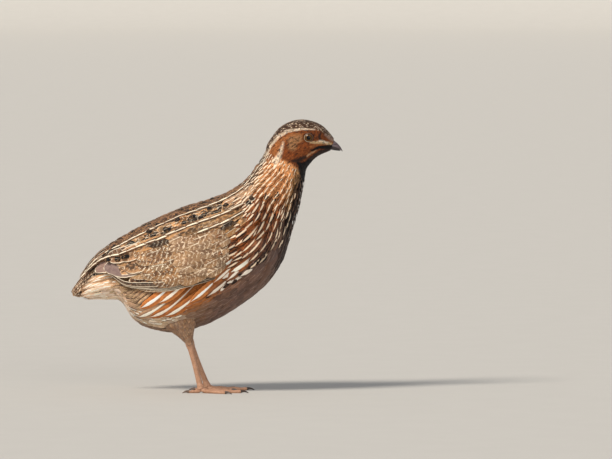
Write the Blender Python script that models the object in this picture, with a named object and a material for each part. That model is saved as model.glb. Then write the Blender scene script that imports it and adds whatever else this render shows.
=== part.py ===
"""Common quail, Coturnix coturnix, standing upright with its neck stretched, life size.

The bird faces +X and stands on z = 0.  One smooth body form runs from the tail tip to the bill.
It is drawn through stations, each a slice with a back point, a belly point and a half width.
A place on it is a station number and an angle: 0 degrees on the back, 180 on the belly,
positive on the bird's left side.  Feathers are tapering vanes laid over that form in tiers.
"""
import math
from collections import namedtuple

import bmesh
import bpy
from mathutils import Matrix, Vector

MM = 0.001                      # every named size below is in millimetres
GAP = 0.3                       # the gap between sub-parts that touch
VANE_THICKNESS = 0.55
VANE_SWELL_END = 0.4            # a vane is widest from this share of its length
VANE_TAPER_START = 0.55         # to this one, where it starts to taper
VANE_TIP_WIDTH = 0.12           # the width of its tip as a share of its greatest
LIFT_END = 0.45                 # the share of its length at which a vane has its tip's lift
LEFT_OVER_RIGHT = 0.17          # the tail's left vanes lie this much over the right ones

# ---------------------------------------------------------------- the body form
Station = namedtuple("Station", "name back belly half_width widest")
STATIONS = (
    Station("tail tip", (-74.4, 55.3), (-73.0, 51.7), 1.6, 0.50),
    Station("mid tail", (-68.6, 63.5), (-65.9, 51.7), 6.0, 0.50),
    Station("tail base", (-61.5, 73.2), (-56.0, 51.7), 10.5, 0.52),
    Station("vent", (-54.3, 79.4), (-46.6, 50.6), 14.0, 0.55),
    Station("rump", (-46.6, 84.4), (-38.9, 40.2), 18.0, 0.56),
    Station("loin", (-36.2, 90.3), (-29.6, 35.2), 21.4, 0.54),
    Station("hip", (-25.2, 95.7), (-15.3, 33.6), 23.6, 0.52),
    Station("belly", (-11.4, 101.4), (2.3, 38.8), 24.4, 0.50),
    Station("keel", (1.2, 105.2), (18.8, 48.4), 24.0, 0.50),
    Station("shoulder", (11.1, 109.0), (32.0, 58.9), 22.2, 0.50),
    Station("crop", (18.3, 113.0), (41.4, 71.8), 18.5, 0.50),
    Station("neck base", (23.8, 118.0), (46.3, 86.6), 14.5, 0.50),
    Station("mid neck", (28.5, 124.3), (51.0, 101.8), 11.5, 0.50),
    Station("neck top", (32.6, 131.5), (53.9, 116.3), 9.6, 0.50),
    Station("nape", (34.2, 136.7), (55.1, 122.7), 9.2, 0.50),
    Station("hind crown", (40.3, 145.0), (57.6, 126.3), 9.4, 0.54),
    Station("crown", (46.9, 148.8), (59.5, 128.4), 9.0, 0.56),
    Station("eye", (54.0, 149.8), (61.5, 129.9), 8.2, 0.56),
    Station("forehead", (62.3, 147.5), (64.1, 131.3), 6.4, 0.56),
    Station("lore", (67.4, 143.2), (66.8, 132.4), 4.2, 0.58),
    Station("bill base", (70.0, 139.2), (69.0, 133.2), 2.9, 0.55),
)
ROUNDNESS = 2.2                 # exponent of the slices, where 2 is an ellipse
TAIL_CORE_START = 1.7           # stations at which the body form is split into nodes
TORSO_START = 3.0
NECK_START = 11.0
HEAD_START = 13.0
HEAD_END = 20.0
BODY_SIDES = 28                 # corners of each slice
TAIL_CORE_SIDES = 16
TAIL_CORE_SINK = -3.0           # how far the core tapers in under the tail feathers

# ---------------------------------------------------------------- feather tiers
# A tier lays its vanes from first to last.  Roots and tips are (station, angle) places.
Tier = namedtuple(
    "Tier", "count segments root_first root_last tip_first tip_last half_width lift_root lift_tip tilt")
WING_TIERS = (
    Tier(6, 4, (5.6, 78), (5.7, 92), (1.75, 66), (3.1, 95), 2.6, 1.0, 2.4, 14),     # primaries
    Tier(7, 4, (6.8, 62), (6.9, 98), (2.9, 60), (5.0, 99), 2.5, 1.2, 3.2, 16),      # secondaries
    Tier(3, 4, (6.4, 50), (6.6, 60), (2.0, 50), (2.8, 61), 3.2, 1.4, 3.7, 10),      # tertials
    Tier(7, 3, (8.0, 60), (7.5, 103), (5.5, 57), (5.9, 101), 2.7, 1.4, 3.9, 16),    # greater coverts
    Tier(6, 3, (8.7, 63), (7.9, 100), (6.9, 60), (6.9, 101), 2.7, 1.4, 4.6, 16),    # median coverts
    Tier(3, 4, (9.0, 52), (9.0, 62), (6.0, 47), (7.2, 57), 2.8, 1.4, 4.4, 12),      # scapulars
)
TAIL_TIERS = (
    Tier(5, 4, (2.2, 10), (2.2, 82), (0.0, 25), (0.9, 88), 2.0, -3.0, -0.6, 18),    # tail feathers
    Tier(3, 3, (2.4, 15), (2.4, 66), (1.2, 16), (1.4, 70), 3.0, -2.4, 0.4, 12),     # upper coverts
    Tier(3, 3, (2.3, 122), (2.3, 162), (0.7, 115), (0.5, 160), 3.0, -2.6, 0.2, -14),  # under coverts
)
WING_TOP = 47                   # the angle of the folded wing's upper edge
WING_LOWER = ((9.05, 66), (8.3, 84), (7.5, 107), (6.7, 104), (5.2, 96))
WING_UPPER_ENDS = (9.05, 5.6)
WING_COLUMNS = 10
WING_ROWS = 5
WING_SKIN = 2.0                 # how far the wing's own surface stands off the body
WING_INNER = 0.45               # the wing's inner face off the body

# ---------------------------------------------------------------- the head
EYE_CENTRE = (56.5, 5.5, 140.1)
EYE_RADIUS = 3.8
LID_RADIUS = 2.75               # radius of the ring of the lids
LID_TUBE = 0.5
LID_STAND_OFF = 0.25            # the middle of the ring off the eyeball
LID_SIDES = 18
LID_TUBE_SIDES = 5
BALL_RINGS = 9
BALL_SIDES = 18
MOUTH_LINE = ((70.0, 135.1), (66.0, 135.4), (62.5, 135.1), (60.0, 134.3), (58.0, 133.2))
MOUTH_WIDTH = 0.4
MOUTH_DEPTH = 0.9
MOUTH_STEPS = 6
CHEEK_PLACES = (16.0, 20.0)     # where the cheek is searched for the line of the mouth
CHEEK_ANGLES = (70, 180)
CULMEN = ((70.1, 139.0), (73.9, 137.4), (75.3, 132.4))
TOMIUM = ((69.4, 135.2), (72.8, 134.9), (75.1, 132.3))
GONYS = ((69.2, 133.3), (71.8, 132.3), (73.9, 132.6))
BILL_HALF_WIDTH = 2.7
BILL_EDGE = 0.3                 # added to the half width all along, so the tip stays solid
BILL_STEPS = 8
BILL_SIDES = 12
NOSTRIL = (71.4, 2.1, 136.9)
FLAP_RADII = (1.5, 0.7, 0.8)    # the flap over the nostril
FLAP_INSET = 0.25
SLIT_RADII = (1.0, 0.5, 0.25)   # the slit below the flap
SLIT_OFFSET = 0.35

# ---------------------------------------------------------------- the legs
STANCE = 10.5                   # each foot's distance from the middle
THIGH_TOP = (-15.0, 44.0)
ANKLE = (-9.2, 28.0)
FOOT_JOINT = {"right": (-2.6, 2.4), "left": (0.6, 2.4)}
THIGH_RADIUS = 15.0
THIGH_FLARE = 1.35              # the exponent of its widening towards the body
THIGH_FLATNESS = 0.55           # its width across the bird as a share of its depth
ANKLE_RADIUS = 2.0
TARSUS_RADIUS = 1.45
TARSUS_FLATNESS = 0.85
TORSO_SPACE = (3.3, 9.7)        # the stations between which a thigh is cut clear of the torso
TORSO_CLEAR = 0.4
TARSUS_SHARES = (0.0, 0.05, 0.12, 0.22, 0.5, 0.8, 1.0)      # places along it from the ankle
TARSUS_SWELL = (1.35, 1.5, 1.4, 1.05, 0.92, 0.95, 1.1)      # its thickness at each
FOOT_STUB = ((-0.8, 1.5, 1.5), (0.0, 2.0, 2.2), (1.6, 1.7, 1.9))    # height, width and depth
FOOT_TOP = 3.5                  # the joint's height along the shank
Toe = namedtuple("Toe", "name heading length radius")
TOES = (
    Toe("inner", -30, 16.0, 1.25),
    Toe("middle", 3, 22.0, 1.35),
    Toe("outer", 34, 16.5, 1.2),
    Toe("hind", 170, 7.0, 1.1),
)
TOE_STEPS = 7
TOE_SIDES = 6
TOE_PADS = 3                    # swellings along a toe
PAD_SWELL = 0.072
TOE_TAPER = 0.35
TOE_HEIGHT = 0.9                # the middle of a toe over the floor, as a share of its radius
TOE_SLOPE_END = 0.29            # the share of its length in which it comes down from the joint
TOE_INSET = 0.6                 # how far its root is sunk into the joint
CLAW_STEPS = 4
CLAW_LENGTH = 4.0
HIND_CLAW_SHARE = 0.8           # the hind claw's length as a share of the others'
CLAW_RADIUS = 0.75
CLAW_TIP_RADIUS = 0.12
CLAW_ARCH = 0.35                # the claw's rise at its middle
CLAW_DROP = 0.75                # and its fall at its tip

SIDES = {"left": 1, "right": -1}


# ---------------------------------------------------------------- objects and materials
def clear_scene():
    for old in list(bpy.data.objects):
        bpy.data.objects.remove(old, do_unlink=True)


def finish(name, colour, roughness):
    """A Principled BSDF material of one colour."""
    material = bpy.data.materials.new(name)
    material.use_nodes = True
    shader = material.node_tree.nodes["Principled BSDF"]
    shader.inputs["Base Color"].default_value = (*colour, 1.0)
    shader.inputs["Roughness"].default_value = roughness
    shader.inputs["Metallic"].default_value = 0.0
    return material


def solid(name, points, faces, material=None):
    """An object from points in millimetres and faces, with its faces turned outwards."""
    mesh = bpy.data.meshes.new(name)
    mesh.from_pydata([Vector(point) * MM for point in points], [], faces)
    shape = bmesh.new()
    shape.from_mesh(mesh)
    bmesh.ops.recalc_face_normals(shape, faces=shape.faces)
    shape.to_mesh(mesh)
    shape.free()
    thing = bpy.data.objects.new(name, mesh)
    bpy.context.scene.collection.objects.link(thing)
    if material:
        mesh.materials.append(material)
    return thing


def apply_modifiers(thing):
    graph = bpy.context.evaluated_depsgraph_get()
    mesh = bpy.data.meshes.new_from_object(thing.evaluated_get(graph))
    thing.modifiers.clear()
    old = thing.data
    thing.data = mesh
    bpy.data.meshes.remove(old)


def keep_largest_surface(thing):
    """Delete every closed surface of a mesh but the one with the largest volume."""
    shape = bmesh.new()
    shape.from_mesh(thing.data)
    waiting = set(shape.faces)
    surfaces = []
    while waiting:
        stack = [waiting.pop()]
        surface = []
        while stack:
            face = stack.pop()
            surface.append(face)
            for edge in face.edges:
                for other in edge.link_faces:
                    if other in waiting:
                        waiting.remove(other)
                        stack.append(other)
        surfaces.append(surface)
    surfaces.sort(key=surface_volume)
    for surface in surfaces[:-1]:
        bmesh.ops.delete(shape, geom=surface, context="FACES")
    loose = [point for point in shape.verts if not point.link_faces]
    bmesh.ops.delete(shape, geom=loose, context="VERTS")
    shape.to_mesh(thing.data)
    shape.free()


def surface_volume(faces):
    total = 0.0
    for face in faces:
        first = face.verts[0].co
        for second, third in zip(face.verts[1:], face.verts[2:]):
            total += first.dot(second.co.cross(third.co)) / 6
    return abs(total)


def fuse(thing, pieces):
    """Join closed pieces to a thing in one union and keep its largest closed surface."""
    group = bpy.data.collections.new("pieces")
    bpy.context.scene.collection.children.link(group)
    for piece in pieces:
        bpy.context.scene.collection.objects.unlink(piece)
        group.objects.link(piece)
    union = thing.modifiers.new("fuse", "BOOLEAN")
    union.operation = "UNION"
    union.operand_type = "COLLECTION"
    union.collection = group
    union.solver = "MANIFOLD"
    apply_modifiers(thing)
    for piece in pieces:
        bpy.data.objects.remove(piece, do_unlink=True)
    bpy.data.collections.remove(group)
    keep_largest_surface(thing)


def cut_away(thing, cutters):
    """Take each cutter's space out of a thing."""
    for cutter in cutters:
        cut = thing.modifiers.new("cut", "BOOLEAN")
        cut.operation = "DIFFERENCE"
        cut.object = cutter
        cut.solver = "MANIFOLD"
        apply_modifiers(thing)
        bpy.data.objects.remove(cutter, do_unlink=True)
    keep_largest_surface(thing)


# ---------------------------------------------------------------- places on the body form
def spline(values, place):
    """A Catmull-Rom value through rows of numbers, at a place counted in rows."""
    last = len(values) - 1
    place = min(max(place, 0.0), float(last))
    row = min(int(place), last - 1)
    part = place - row
    before = values[max(row - 1, 0)]
    after = values[min(row + 2, last)]
    result = []
    for a, b, c, d in zip(before, values[row], values[row + 1], after):
        slope_b = (c - a) / 2
        slope_c = (d - b) / 2
        cubic = 2 * b - 2 * c + slope_b + slope_c
        square = 3 * c - 3 * b - 2 * slope_b - slope_c
        result.append(((cubic * part + square) * part + slope_b) * part + b)
    return result


def slice_at(place):
    """The slice of the body form at a station number: back, belly, half width, widest."""
    rows = [(*s.back, *s.belly, s.half_width, s.widest) for s in STATIONS]
    return spline(rows, place)


def signed_power(value, power):
    return math.copysign(abs(value) ** power, value)


def skin_point(place, degrees):
    back_x, back_z, belly_x, belly_z, half_width, widest = slice_at(place)
    angle = math.radians(degrees)
    rise = signed_power(math.cos(angle), 2 / ROUNDNESS)
    out = signed_power(math.sin(angle), 2 / ROUNDNESS)
    along = widest - rise * (widest if rise > 0 else 1 - widest)
    x = back_x + (belly_x - back_x) * along
    z = back_z + (belly_z - back_z) * along
    return Vector((x, half_width * out, z))


def skin_normal(place, degrees):
    """The direction out of the body form."""
    step = 0.02
    turn = 1.0
    low = max(place - step, 0.0)
    high = min(place + step, len(STATIONS) - 1.0)
    forward = skin_point(high, degrees) - skin_point(low, degrees)
    around = skin_point(place, degrees + turn) - skin_point(place, degrees - turn)
    return forward.cross(around).normalized()


def lifted(place, degrees, lift):
    return skin_point(place, degrees) + skin_normal(place, degrees) * lift


def ring(place, sides, lift=0.0):
    return [lifted(place, 360 * side / sides, lift) for side in range(sides)]


def loft(name, rings, material=None):
    """A closed form through rings of points that all have the same number of points."""
    sides = len(rings[0])
    points = [point for each in rings for point in each]
    faces = [list(range(sides)), list(range(len(points) - sides, len(points)))]
    for row in range(len(rings) - 1):
        for side in range(sides):
            after = (side + 1) % sides
            low = row * sides
            high = low + sides
            faces.append((low + side, low + after, high + after, high + side))
    return solid(name, points, faces, material)


def body_length(name, start, end, steps, sides, material, start_lift=0.0, end_lift=0.0):
    """A length of the body form, its front drawn back by the gap to the next length."""
    rings = []
    for step in range(steps + 1):
        part = step / steps
        lift = start_lift + (end_lift - start_lift) * part
        rings.append(ring(start + (end - start) * part, sides, lift))
    inward = (skin_point(end - 0.1, 90) - skin_point(end, 90)).normalized()
    back_x, back_z, belly_x, belly_z = slice_at(end)[:4]
    across = Vector((belly_z - back_z, 0.0, back_x - belly_x)).normalized()
    if across.dot(inward) < 0:
        across = -across
    rings[-1] = [point + across * GAP for point in rings[-1]]
    return loft(name, rings, material)


# ---------------------------------------------------------------- feathers
def vane_width(share):
    """The half width of a vane along its length, as a share of its greatest."""
    swell = 0.5 + 0.5 * min(share / VANE_SWELL_END, 1.0)
    fall = max(share - VANE_TAPER_START, 0.0) / (1.0 - VANE_TAPER_START)
    taper = math.sqrt(max(1.0 - fall ** 2, 0.0))
    return swell * (VANE_TIP_WIDTH + (1.0 - VANE_TIP_WIDTH) * taper)


def vane(spots, half_width, thickness=VANE_THICKNESS):
    """One closed tapering feather.  Each spot is a point, a direction across and a normal."""
    points = []
    last = len(spots) - 1
    for number, (centre, across, normal) in enumerate(spots):
        reach = across * half_width * vane_width(number / last)
        rise = normal * thickness / 2
        points += [centre - reach + rise, centre + reach + rise]
        points += [centre + reach - rise, centre - reach - rise]
    end = last * 4
    faces = [(0, 1, 2, 3), (end, end + 1, end + 2, end + 3)]
    strips = ((0, 1), (3, 2), (1, 2), (0, 3))
    for number in range(last):
        low = number * 4
        high = low + 4
        for a, b in strips:
            faces.append((low + a, low + b, high + b))
            faces.append((low + a, high + b, high + a))
    return solid("vane", points, faces)


def laid_vane(tier, share, side, extra_lift=0.0):
    """A tier's vane at a share of the way from its first to its last, on one side."""
    def between(first, last):
        return [a + (b - a) * share for a, b in zip(first, last)]
    root_place, root_angle = between(tier.root_first, tier.root_last)
    tip_place, tip_angle = between(tier.tip_first, tier.tip_last)
    centres = []
    segments = tier.segments
    for number in range(segments + 1):
        part = number / segments
        place = root_place + (tip_place - root_place) * part
        angle = (root_angle + (tip_angle - root_angle) * part) * side
        lift = tier.lift_root + (tier.lift_tip - tier.lift_root) * min(part / LIFT_END, 1.0)
        lift += extra_lift
        centres.append((lifted(place, angle, lift), skin_normal(place, angle)))
    spots = []
    for number, (centre, normal) in enumerate(centres):
        ahead = centres[min(number + 1, segments)][0] - centres[max(number - 1, 0)][0]
        across = ahead.cross(normal).normalized() * side
        turn = Matrix.Rotation(math.radians(tier.tilt) * side, 3, ahead.normalized())
        spots.append((centre, turn @ across, turn @ normal))
    return vane(spots, tier.half_width)


def tier_vanes(tier, side, extra_lift=0.0):
    shares = [number / (tier.count - 1) for number in range(tier.count)]
    return [laid_vane(tier, share, side, extra_lift) for share in shares]


# ---------------------------------------------------------------- tail, torso and neck
def tail(material):
    """Tail feathers and their coverts, fused to a short core."""
    core = body_length(
        "tail", TAIL_CORE_START, TORSO_START, 4, TAIL_CORE_SIDES, material,
        start_lift=TAIL_CORE_SINK)
    vanes = []
    for tier in TAIL_TIERS:
        vanes += tier_vanes(tier, SIDES["right"])
        vanes += tier_vanes(tier, SIDES["left"], LEFT_OVER_RIGHT)
    fuse(core, vanes)
    return core


def torso(material):
    return body_length("torso", TORSO_START, NECK_START, 20, BODY_SIDES, material)


def neck(material):
    return body_length("neck", NECK_START, HEAD_START, 6, BODY_SIDES, material)


# ---------------------------------------------------------------- wings
def wing(side_name, material):
    """A folded wing: a thin closed form over the flank that carries its tiers of feathers."""
    side = SIDES[side_name]
    columns = WING_COLUMNS
    rows = WING_ROWS
    outer = []
    inner = []
    for column in range(columns + 1):
        part = column / columns
        low_place, low_angle = spline(WING_LOWER, part * (len(WING_LOWER) - 1))
        top_place = WING_UPPER_ENDS[0] + (WING_UPPER_ENDS[1] - WING_UPPER_ENDS[0]) * part
        for row in range(rows + 1):
            share = row / rows
            place = top_place + (low_place - top_place) * share
            angle = (WING_TOP + (low_angle - WING_TOP) * share) * side
            edge = min(row, rows - row, column, columns - column)
            depth = WING_SKIN if edge else WING_INNER + VANE_THICKNESS
            outer.append(lifted(place, angle, depth))
            inner.append(lifted(place, angle, WING_INNER))
    plate = plate_between(f"wing_{side_name}", inner, outer, columns, rows, material)
    vanes = []
    for tier in WING_TIERS:
        vanes += tier_vanes(tier, side)
    fuse(plate, vanes)
    return plate


def plate_between(name, inner, outer, columns, rows, material):
    """A closed plate between two grids of points, split alike on both faces."""
    count = len(outer)
    faces = []
    wide = rows + 1
    for column in range(columns):
        for row in range(rows):
            a = column * wide + row
            b = a + 1
            c = a + wide + 1
            d = a + wide
            faces += [(a, b, c), (a, c, d)]
            faces += [(count + c, count + b, count + a), (count + d, count + c, count + a)]
    rim = list(range(rows))
    rim += [column * wide + rows for column in range(columns)]
    rim += [columns * wide + row for row in range(rows, 0, -1)]
    rim += [column * wide for column in range(columns, 0, -1)]
    for first, second in zip(rim, rim[1:] + rim[:1]):
        faces.append((first, second, count + second, count + first))
    return solid(name, outer + inner, faces, material)


# ---------------------------------------------------------------- head, eyes and bill
def ball(name, centre, radii, rings, sides, material=None):
    """A closed ball with its poles along Y."""
    points = [Vector((centre[0], centre[1] - radii[1], centre[2]))]
    for row in range(1, rings):
        tilt = math.pi * row / rings
        for side in range(sides):
            turn = 2 * math.pi * side / sides
            points.append(Vector((
                centre[0] + radii[0] * math.sin(tilt) * math.cos(turn),
                centre[1] - radii[1] * math.cos(tilt),
                centre[2] + radii[2] * math.sin(tilt) * math.sin(turn),
            )))
    points.append(Vector((centre[0], centre[1] + radii[1], centre[2])))
    last = len(points) - 1
    faces = []
    for side in range(sides):
        after = (side + 1) % sides
        faces.append((0, 1 + side, 1 + after))
        faces.append((last, last - sides + after, last - sides + side))
        for row in range(rings - 2):
            low = 1 + row * sides
            faces.append((low + side, low + sides + side, low + sides + after, low + after))
    return solid(name, points, faces, material)


def lid_ring(side):
    """The ring of the lids, lying on the eyeball round its opening."""
    sides = LID_SIDES
    tube_sides = LID_TUBE_SIDES
    reach = EYE_RADIUS + LID_STAND_OFF
    offset = math.sqrt(reach ** 2 - LID_RADIUS ** 2)
    lean = math.atan2(LID_RADIUS, offset)
    rings = []
    for number in range(sides):
        turn = 2 * math.pi * number / sides
        outward = Vector((math.cos(turn), 0.0, math.sin(turn)))
        radial = outward * math.sin(lean) + Vector((0.0, side * math.cos(lean), 0.0))
        along = outward * math.cos(lean) - Vector((0.0, side * math.sin(lean), 0.0))
        centre = eye_centre(side) + radial * reach
        section = []
        for corner in range(tube_sides):
            angle = 2 * math.pi * corner / tube_sides
            section.append(centre + (radial * math.cos(angle) + along * math.sin(angle)) * LID_TUBE)
        rings.append(section)
    points = [point for section in rings for point in section]
    faces = []
    for number in range(sides):
        after = (number + 1) % sides
        for corner in range(tube_sides):
            beside = (corner + 1) % tube_sides
            low = number * tube_sides
            high = after * tube_sides
            faces.append((low + corner, low + beside, high + beside, high + corner))
    return solid("lids", points, faces)


def eye_centre(side):
    x, y, z = EYE_CENTRE
    return Vector((x, y * side, z))


def mouth_cutter(side):
    """A thin bent strip that cuts the line of the mouth into one cheek."""
    points = []
    steps = MOUTH_STEPS
    for step in range(steps + 1):
        x, z = spline(MOUTH_LINE, step / steps * (len(MOUTH_LINE) - 1))
        surface = cheek_reach(x, z)
        deep = surface - MOUTH_DEPTH * (1.0 - 0.75 * step / steps)
        for y, half in ((deep, 0.3), (surface + 2.0, 0.7)):
            points.append(Vector((x, y * side, z + MOUTH_WIDTH * half)))
            points.append(Vector((x, y * side, z - MOUTH_WIDTH * half)))
    faces = [(0, 1, 3, 2), tuple(4 * steps + corner for corner in (0, 1, 3, 2))]
    for step in range(steps):
        low = 4 * step
        high = low + 4
        for a, b in ((0, 1), (1, 3), (3, 2), (2, 0)):
            faces.append((low + a, low + b, high + b))
            faces.append((low + a, high + b, high + a))
    return solid("mouth cutter", points, faces)


def cheek_reach(x, z):
    """How far the head reaches sideways at a place of the side view."""
    best = None
    tries = 60
    first, last = CHEEK_PLACES
    for number in range(tries):
        place = first + (last - first) * number / tries
        for angle in range(*CHEEK_ANGLES, 4):
            point = skin_point(place, angle)
            miss = (point.x - x) ** 2 + (point.z - z) ** 2
            if best is None or miss < best[0]:
                best = (miss, point.y)
    return best[1]


def head(material):
    """The head with its eye sockets, lids and the line of the mouth."""
    form = body_length("head", HEAD_START, HEAD_END, 20, BODY_SIDES, material)
    fuse(form, [lid_ring(side) for side in SIDES.values()])
    socket = EYE_RADIUS + GAP
    cutters = []
    for side in SIDES.values():
        cutters.append(ball("socket", eye_centre(side), (socket,) * 3, BALL_RINGS, BALL_SIDES))
        cutters.append(mouth_cutter(side))
    cut_away(form, cutters)
    return form


def eye(side_name, material):
    centre = eye_centre(SIDES[side_name])
    return ball(f"eye_{side_name}", centre, (EYE_RADIUS,) * 3, BALL_RINGS, BALL_SIDES, material)


def bend(points, part):
    """A point of the quadratic curve with these three control points."""
    first, middle, last = (Vector((x, 0.0, z)) for x, z in points)
    return first * (1 - part) ** 2 + middle * 2 * part * (1 - part) + last * part ** 2


def bill_half(name, top, bottom, rounded_top, half_width, material):
    """Half a bill: flat towards the mouth and rounded on the other side."""
    steps = BILL_STEPS
    sides = BILL_SIDES
    rings = []
    for step in range(steps + 1):
        part = step / steps
        high = bend(top, part)
        low = bend(bottom, part)
        width = half_width * (1 - part) ** 0.75 + BILL_EDGE
        section = []
        for side in range(sides):
            angle = 2 * math.pi * (side + 0.5) / sides
            rise = math.cos(angle) / math.cos(math.pi / sides)
            rounded = (rise > 0) == rounded_top
            share = 0.25 + 0.75 * abs(rise) if rounded else 0.25 * min(1.0, abs(rise) * 3)
            flat_side = low if rounded_top else high
            far_side = high if rounded_top else low
            middle = flat_side + (far_side - flat_side) * 0.25
            centre = middle + (far_side - flat_side) * (share - 0.25 if rounded else -share)
            spread = abs(math.sin(angle)) ** (0.8 if rounded else 0.5)
            section.append(centre + Vector((0.0, math.copysign(width * spread, math.sin(angle)), 0.0)))
        rings.append(section)
    return loft(name, rings, material)


def bill(material):
    upper = bill_half("bill_upper", CULMEN, TOMIUM, True, BILL_HALF_WIDTH, material)
    x, y, z = NOSTRIL
    flaps = []
    slits = []
    for side in SIDES.values():
        flaps.append(ball("flap", (x, side * (y - FLAP_INSET), z), FLAP_RADII, 6, 10))
        below = (x, side * (y + SLIT_OFFSET), z - SLIT_OFFSET)
        slits.append(ball("slit", below, SLIT_RADII, 6, 10))
    fuse(upper, flaps)
    cut_away(upper, slits)
    mouth = [(x, z - GAP) for x, z in TOMIUM]
    mouth[-1] = (GONYS[-1][0] + 0.2, GONYS[-1][1] + 0.35)
    bill_half("bill_lower", mouth, GONYS, False, BILL_HALF_WIDTH - 0.5, material)


# ---------------------------------------------------------------- legs
def tube(name, centres, radii, sides=12, material=None, floor=None, turn=0.5):
    """A closed tube along centres, its radius given at each, flattened at a floor height."""
    rings = []
    for number, centre in enumerate(centres):
        ahead = centres[min(number + 1, len(centres) - 1)] - centres[max(number - 1, 0)]
        ahead = ahead.normalized()
        aside = Vector((0.0, 1.0, 0.0)) if abs(ahead.y) < 0.9 else Vector((1.0, 0.0, 0.0))
        upward = ahead.cross(aside).normalized()
        aside = upward.cross(ahead).normalized()
        wide, deep = radii[number] if isinstance(radii[number], tuple) else (radii[number],) * 2
        section = []
        for side in range(sides):
            angle = 2 * math.pi * (side + turn) / sides
            point = centre + upward * deep * math.cos(angle) + aside * wide * math.sin(angle)
            if floor is not None:
                point.z = max(point.z, floor)
            section.append(point)
        rings.append(section)
    return loft(name, rings, material)


def thigh(side_name, material):
    """The feathered shin, cut clear of the torso by the gap."""
    y = STANCE * SIDES[side_name]
    steps = 10
    centres = []
    radii = []
    top = Vector((THIGH_TOP[0], y, THIGH_TOP[1]))
    low = Vector((ANKLE[0], y, ANKLE[1] + GAP))
    for step in range(steps + 1):
        part = step / steps
        centres.append(top + (low - top) * part)
        extra = (THIGH_RADIUS - ANKLE_RADIUS) * (1 - part) ** THIGH_FLARE
        radii.append((ANKLE_RADIUS + extra * THIGH_FLATNESS, ANKLE_RADIUS + extra))
    form = tube(f"thigh_{side_name}", centres, radii, 20, material)
    space = body_length("torso space", *TORSO_SPACE, 20, BODY_SIDES, None, TORSO_CLEAR, TORSO_CLEAR)
    cut_away(form, [space])
    return form


def leg_points(side_name):
    y = STANCE * SIDES[side_name]
    foot_x, foot_z = FOOT_JOINT[side_name]
    return Vector((ANKLE[0], y, ANKLE[1])), Vector((foot_x, y, foot_z))


def tarsus(side_name, material):
    """The bare shank from ankle to foot."""
    ankle, foot = leg_points(side_name)
    down = (foot - ankle).normalized()
    start = ankle + down * 0.2
    end = foot - down * (FOOT_TOP + GAP)
    centres = [start + (end - start) * share for share in TARSUS_SHARES]
    radii = [(TARSUS_RADIUS * grow * TARSUS_FLATNESS, TARSUS_RADIUS * grow) for grow in TARSUS_SWELL]
    return tube(f"tarsus_{side_name}", centres, radii, 12, material)


def toe_path(foot, toe, side, steps):
    """Centres and radii along a toe, low enough to rest on the floor."""
    heading = math.radians(toe.heading * side)
    forward = Vector((math.cos(heading), math.sin(heading), 0.0))
    centres = []
    radii = []
    for step in range(steps + 1):
        part = step / steps
        pad = PAD_SWELL * math.cos(part * math.pi * 2 * TOE_PADS)
        radius = toe.radius * (1.0 - TOE_TAPER * part + pad)
        centre = foot + forward * toe.length * part
        slope = max(0.0, 1 - part / TOE_SLOPE_END) ** 2
        centre.z = radius * TOE_HEIGHT + (foot.z - toe.radius) * slope
        centres.append(centre)
        radii.append(radius)
    return centres, radii, forward


def foot(side_name, material):
    """Four toes fused to the joint of the foot, flat where they rest on the floor."""
    side = SIDES[side_name]
    ankle, joint = leg_points(side_name)
    up = (ankle - joint).normalized()
    stub = [joint + up * height for height, *_ in FOOT_STUB] + [joint + up * FOOT_TOP]
    radii = [(width, depth) for _, width, depth in FOOT_STUB]
    radii.append((TARSUS_RADIUS * TARSUS_FLATNESS * TARSUS_SWELL[-1], TARSUS_RADIUS * TARSUS_SWELL[-1]))
    form = tube(f"foot_{side_name}", stub, radii, 12, material, floor=0.0)
    toes = []
    for toe in TOES:
        centres, toe_radii, forward = toe_path(joint, toe, side, TOE_STEPS)
        centres[0] = centres[0] - forward * TOE_INSET
        toes.append(tube("toe", centres, toe_radii, TOE_SIDES, None, floor=0.0))
    fuse(form, toes)
    return form


def claws(side_name, material):
    """One curved claw in front of each toe."""
    side = SIDES[side_name]
    joint = leg_points(side_name)[1]
    for toe in TOES:
        centres, radii, forward = toe_path(joint, toe, side, TOE_STEPS)
        start = centres[-1] + forward * GAP
        reach = CLAW_LENGTH * (HIND_CLAW_SHARE if toe.name == "hind" else 1.0)
        points = []
        sizes = []
        for step in range(CLAW_STEPS + 1):
            part = step / CLAW_STEPS
            size = CLAW_RADIUS * (1 - part) + CLAW_TIP_RADIUS
            centre = start + forward * reach * part
            bow = CLAW_ARCH * math.sin(part * math.pi) - CLAW_DROP * part ** 2
            centre.z = max(centres[-1].z + bow, size * TOE_HEIGHT)
            points.append(centre)
            sizes.append(size)
        tube(f"claw_{side_name}_{toe.name}", points, sizes, TOE_SIDES, material, floor=0.0)


# ---------------------------------------------------------------- the whole bird
def centre_on_origin():
    """Parent every part to an empty that puts the middle of their box over the origin."""
    things = [thing for thing in bpy.data.objects if thing.type == "MESH"]
    corners = [point.co for thing in things for point in thing.data.vertices]
    middle_x = (min(c.x for c in corners) + max(c.x for c in corners)) / 2
    middle_y = (min(c.y for c in corners) + max(c.y for c in corners)) / 2
    holder = bpy.data.objects.new("quail", None)
    bpy.context.scene.collection.objects.link(holder)
    holder.location = (-middle_x, -middle_y, -min(c.z for c in corners))
    for thing in things:
        thing.parent = holder


def shade(thing):
    thing.data.shade_smooth()
    thing.data.set_sharp_from_angle(angle=math.radians(40))


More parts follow.
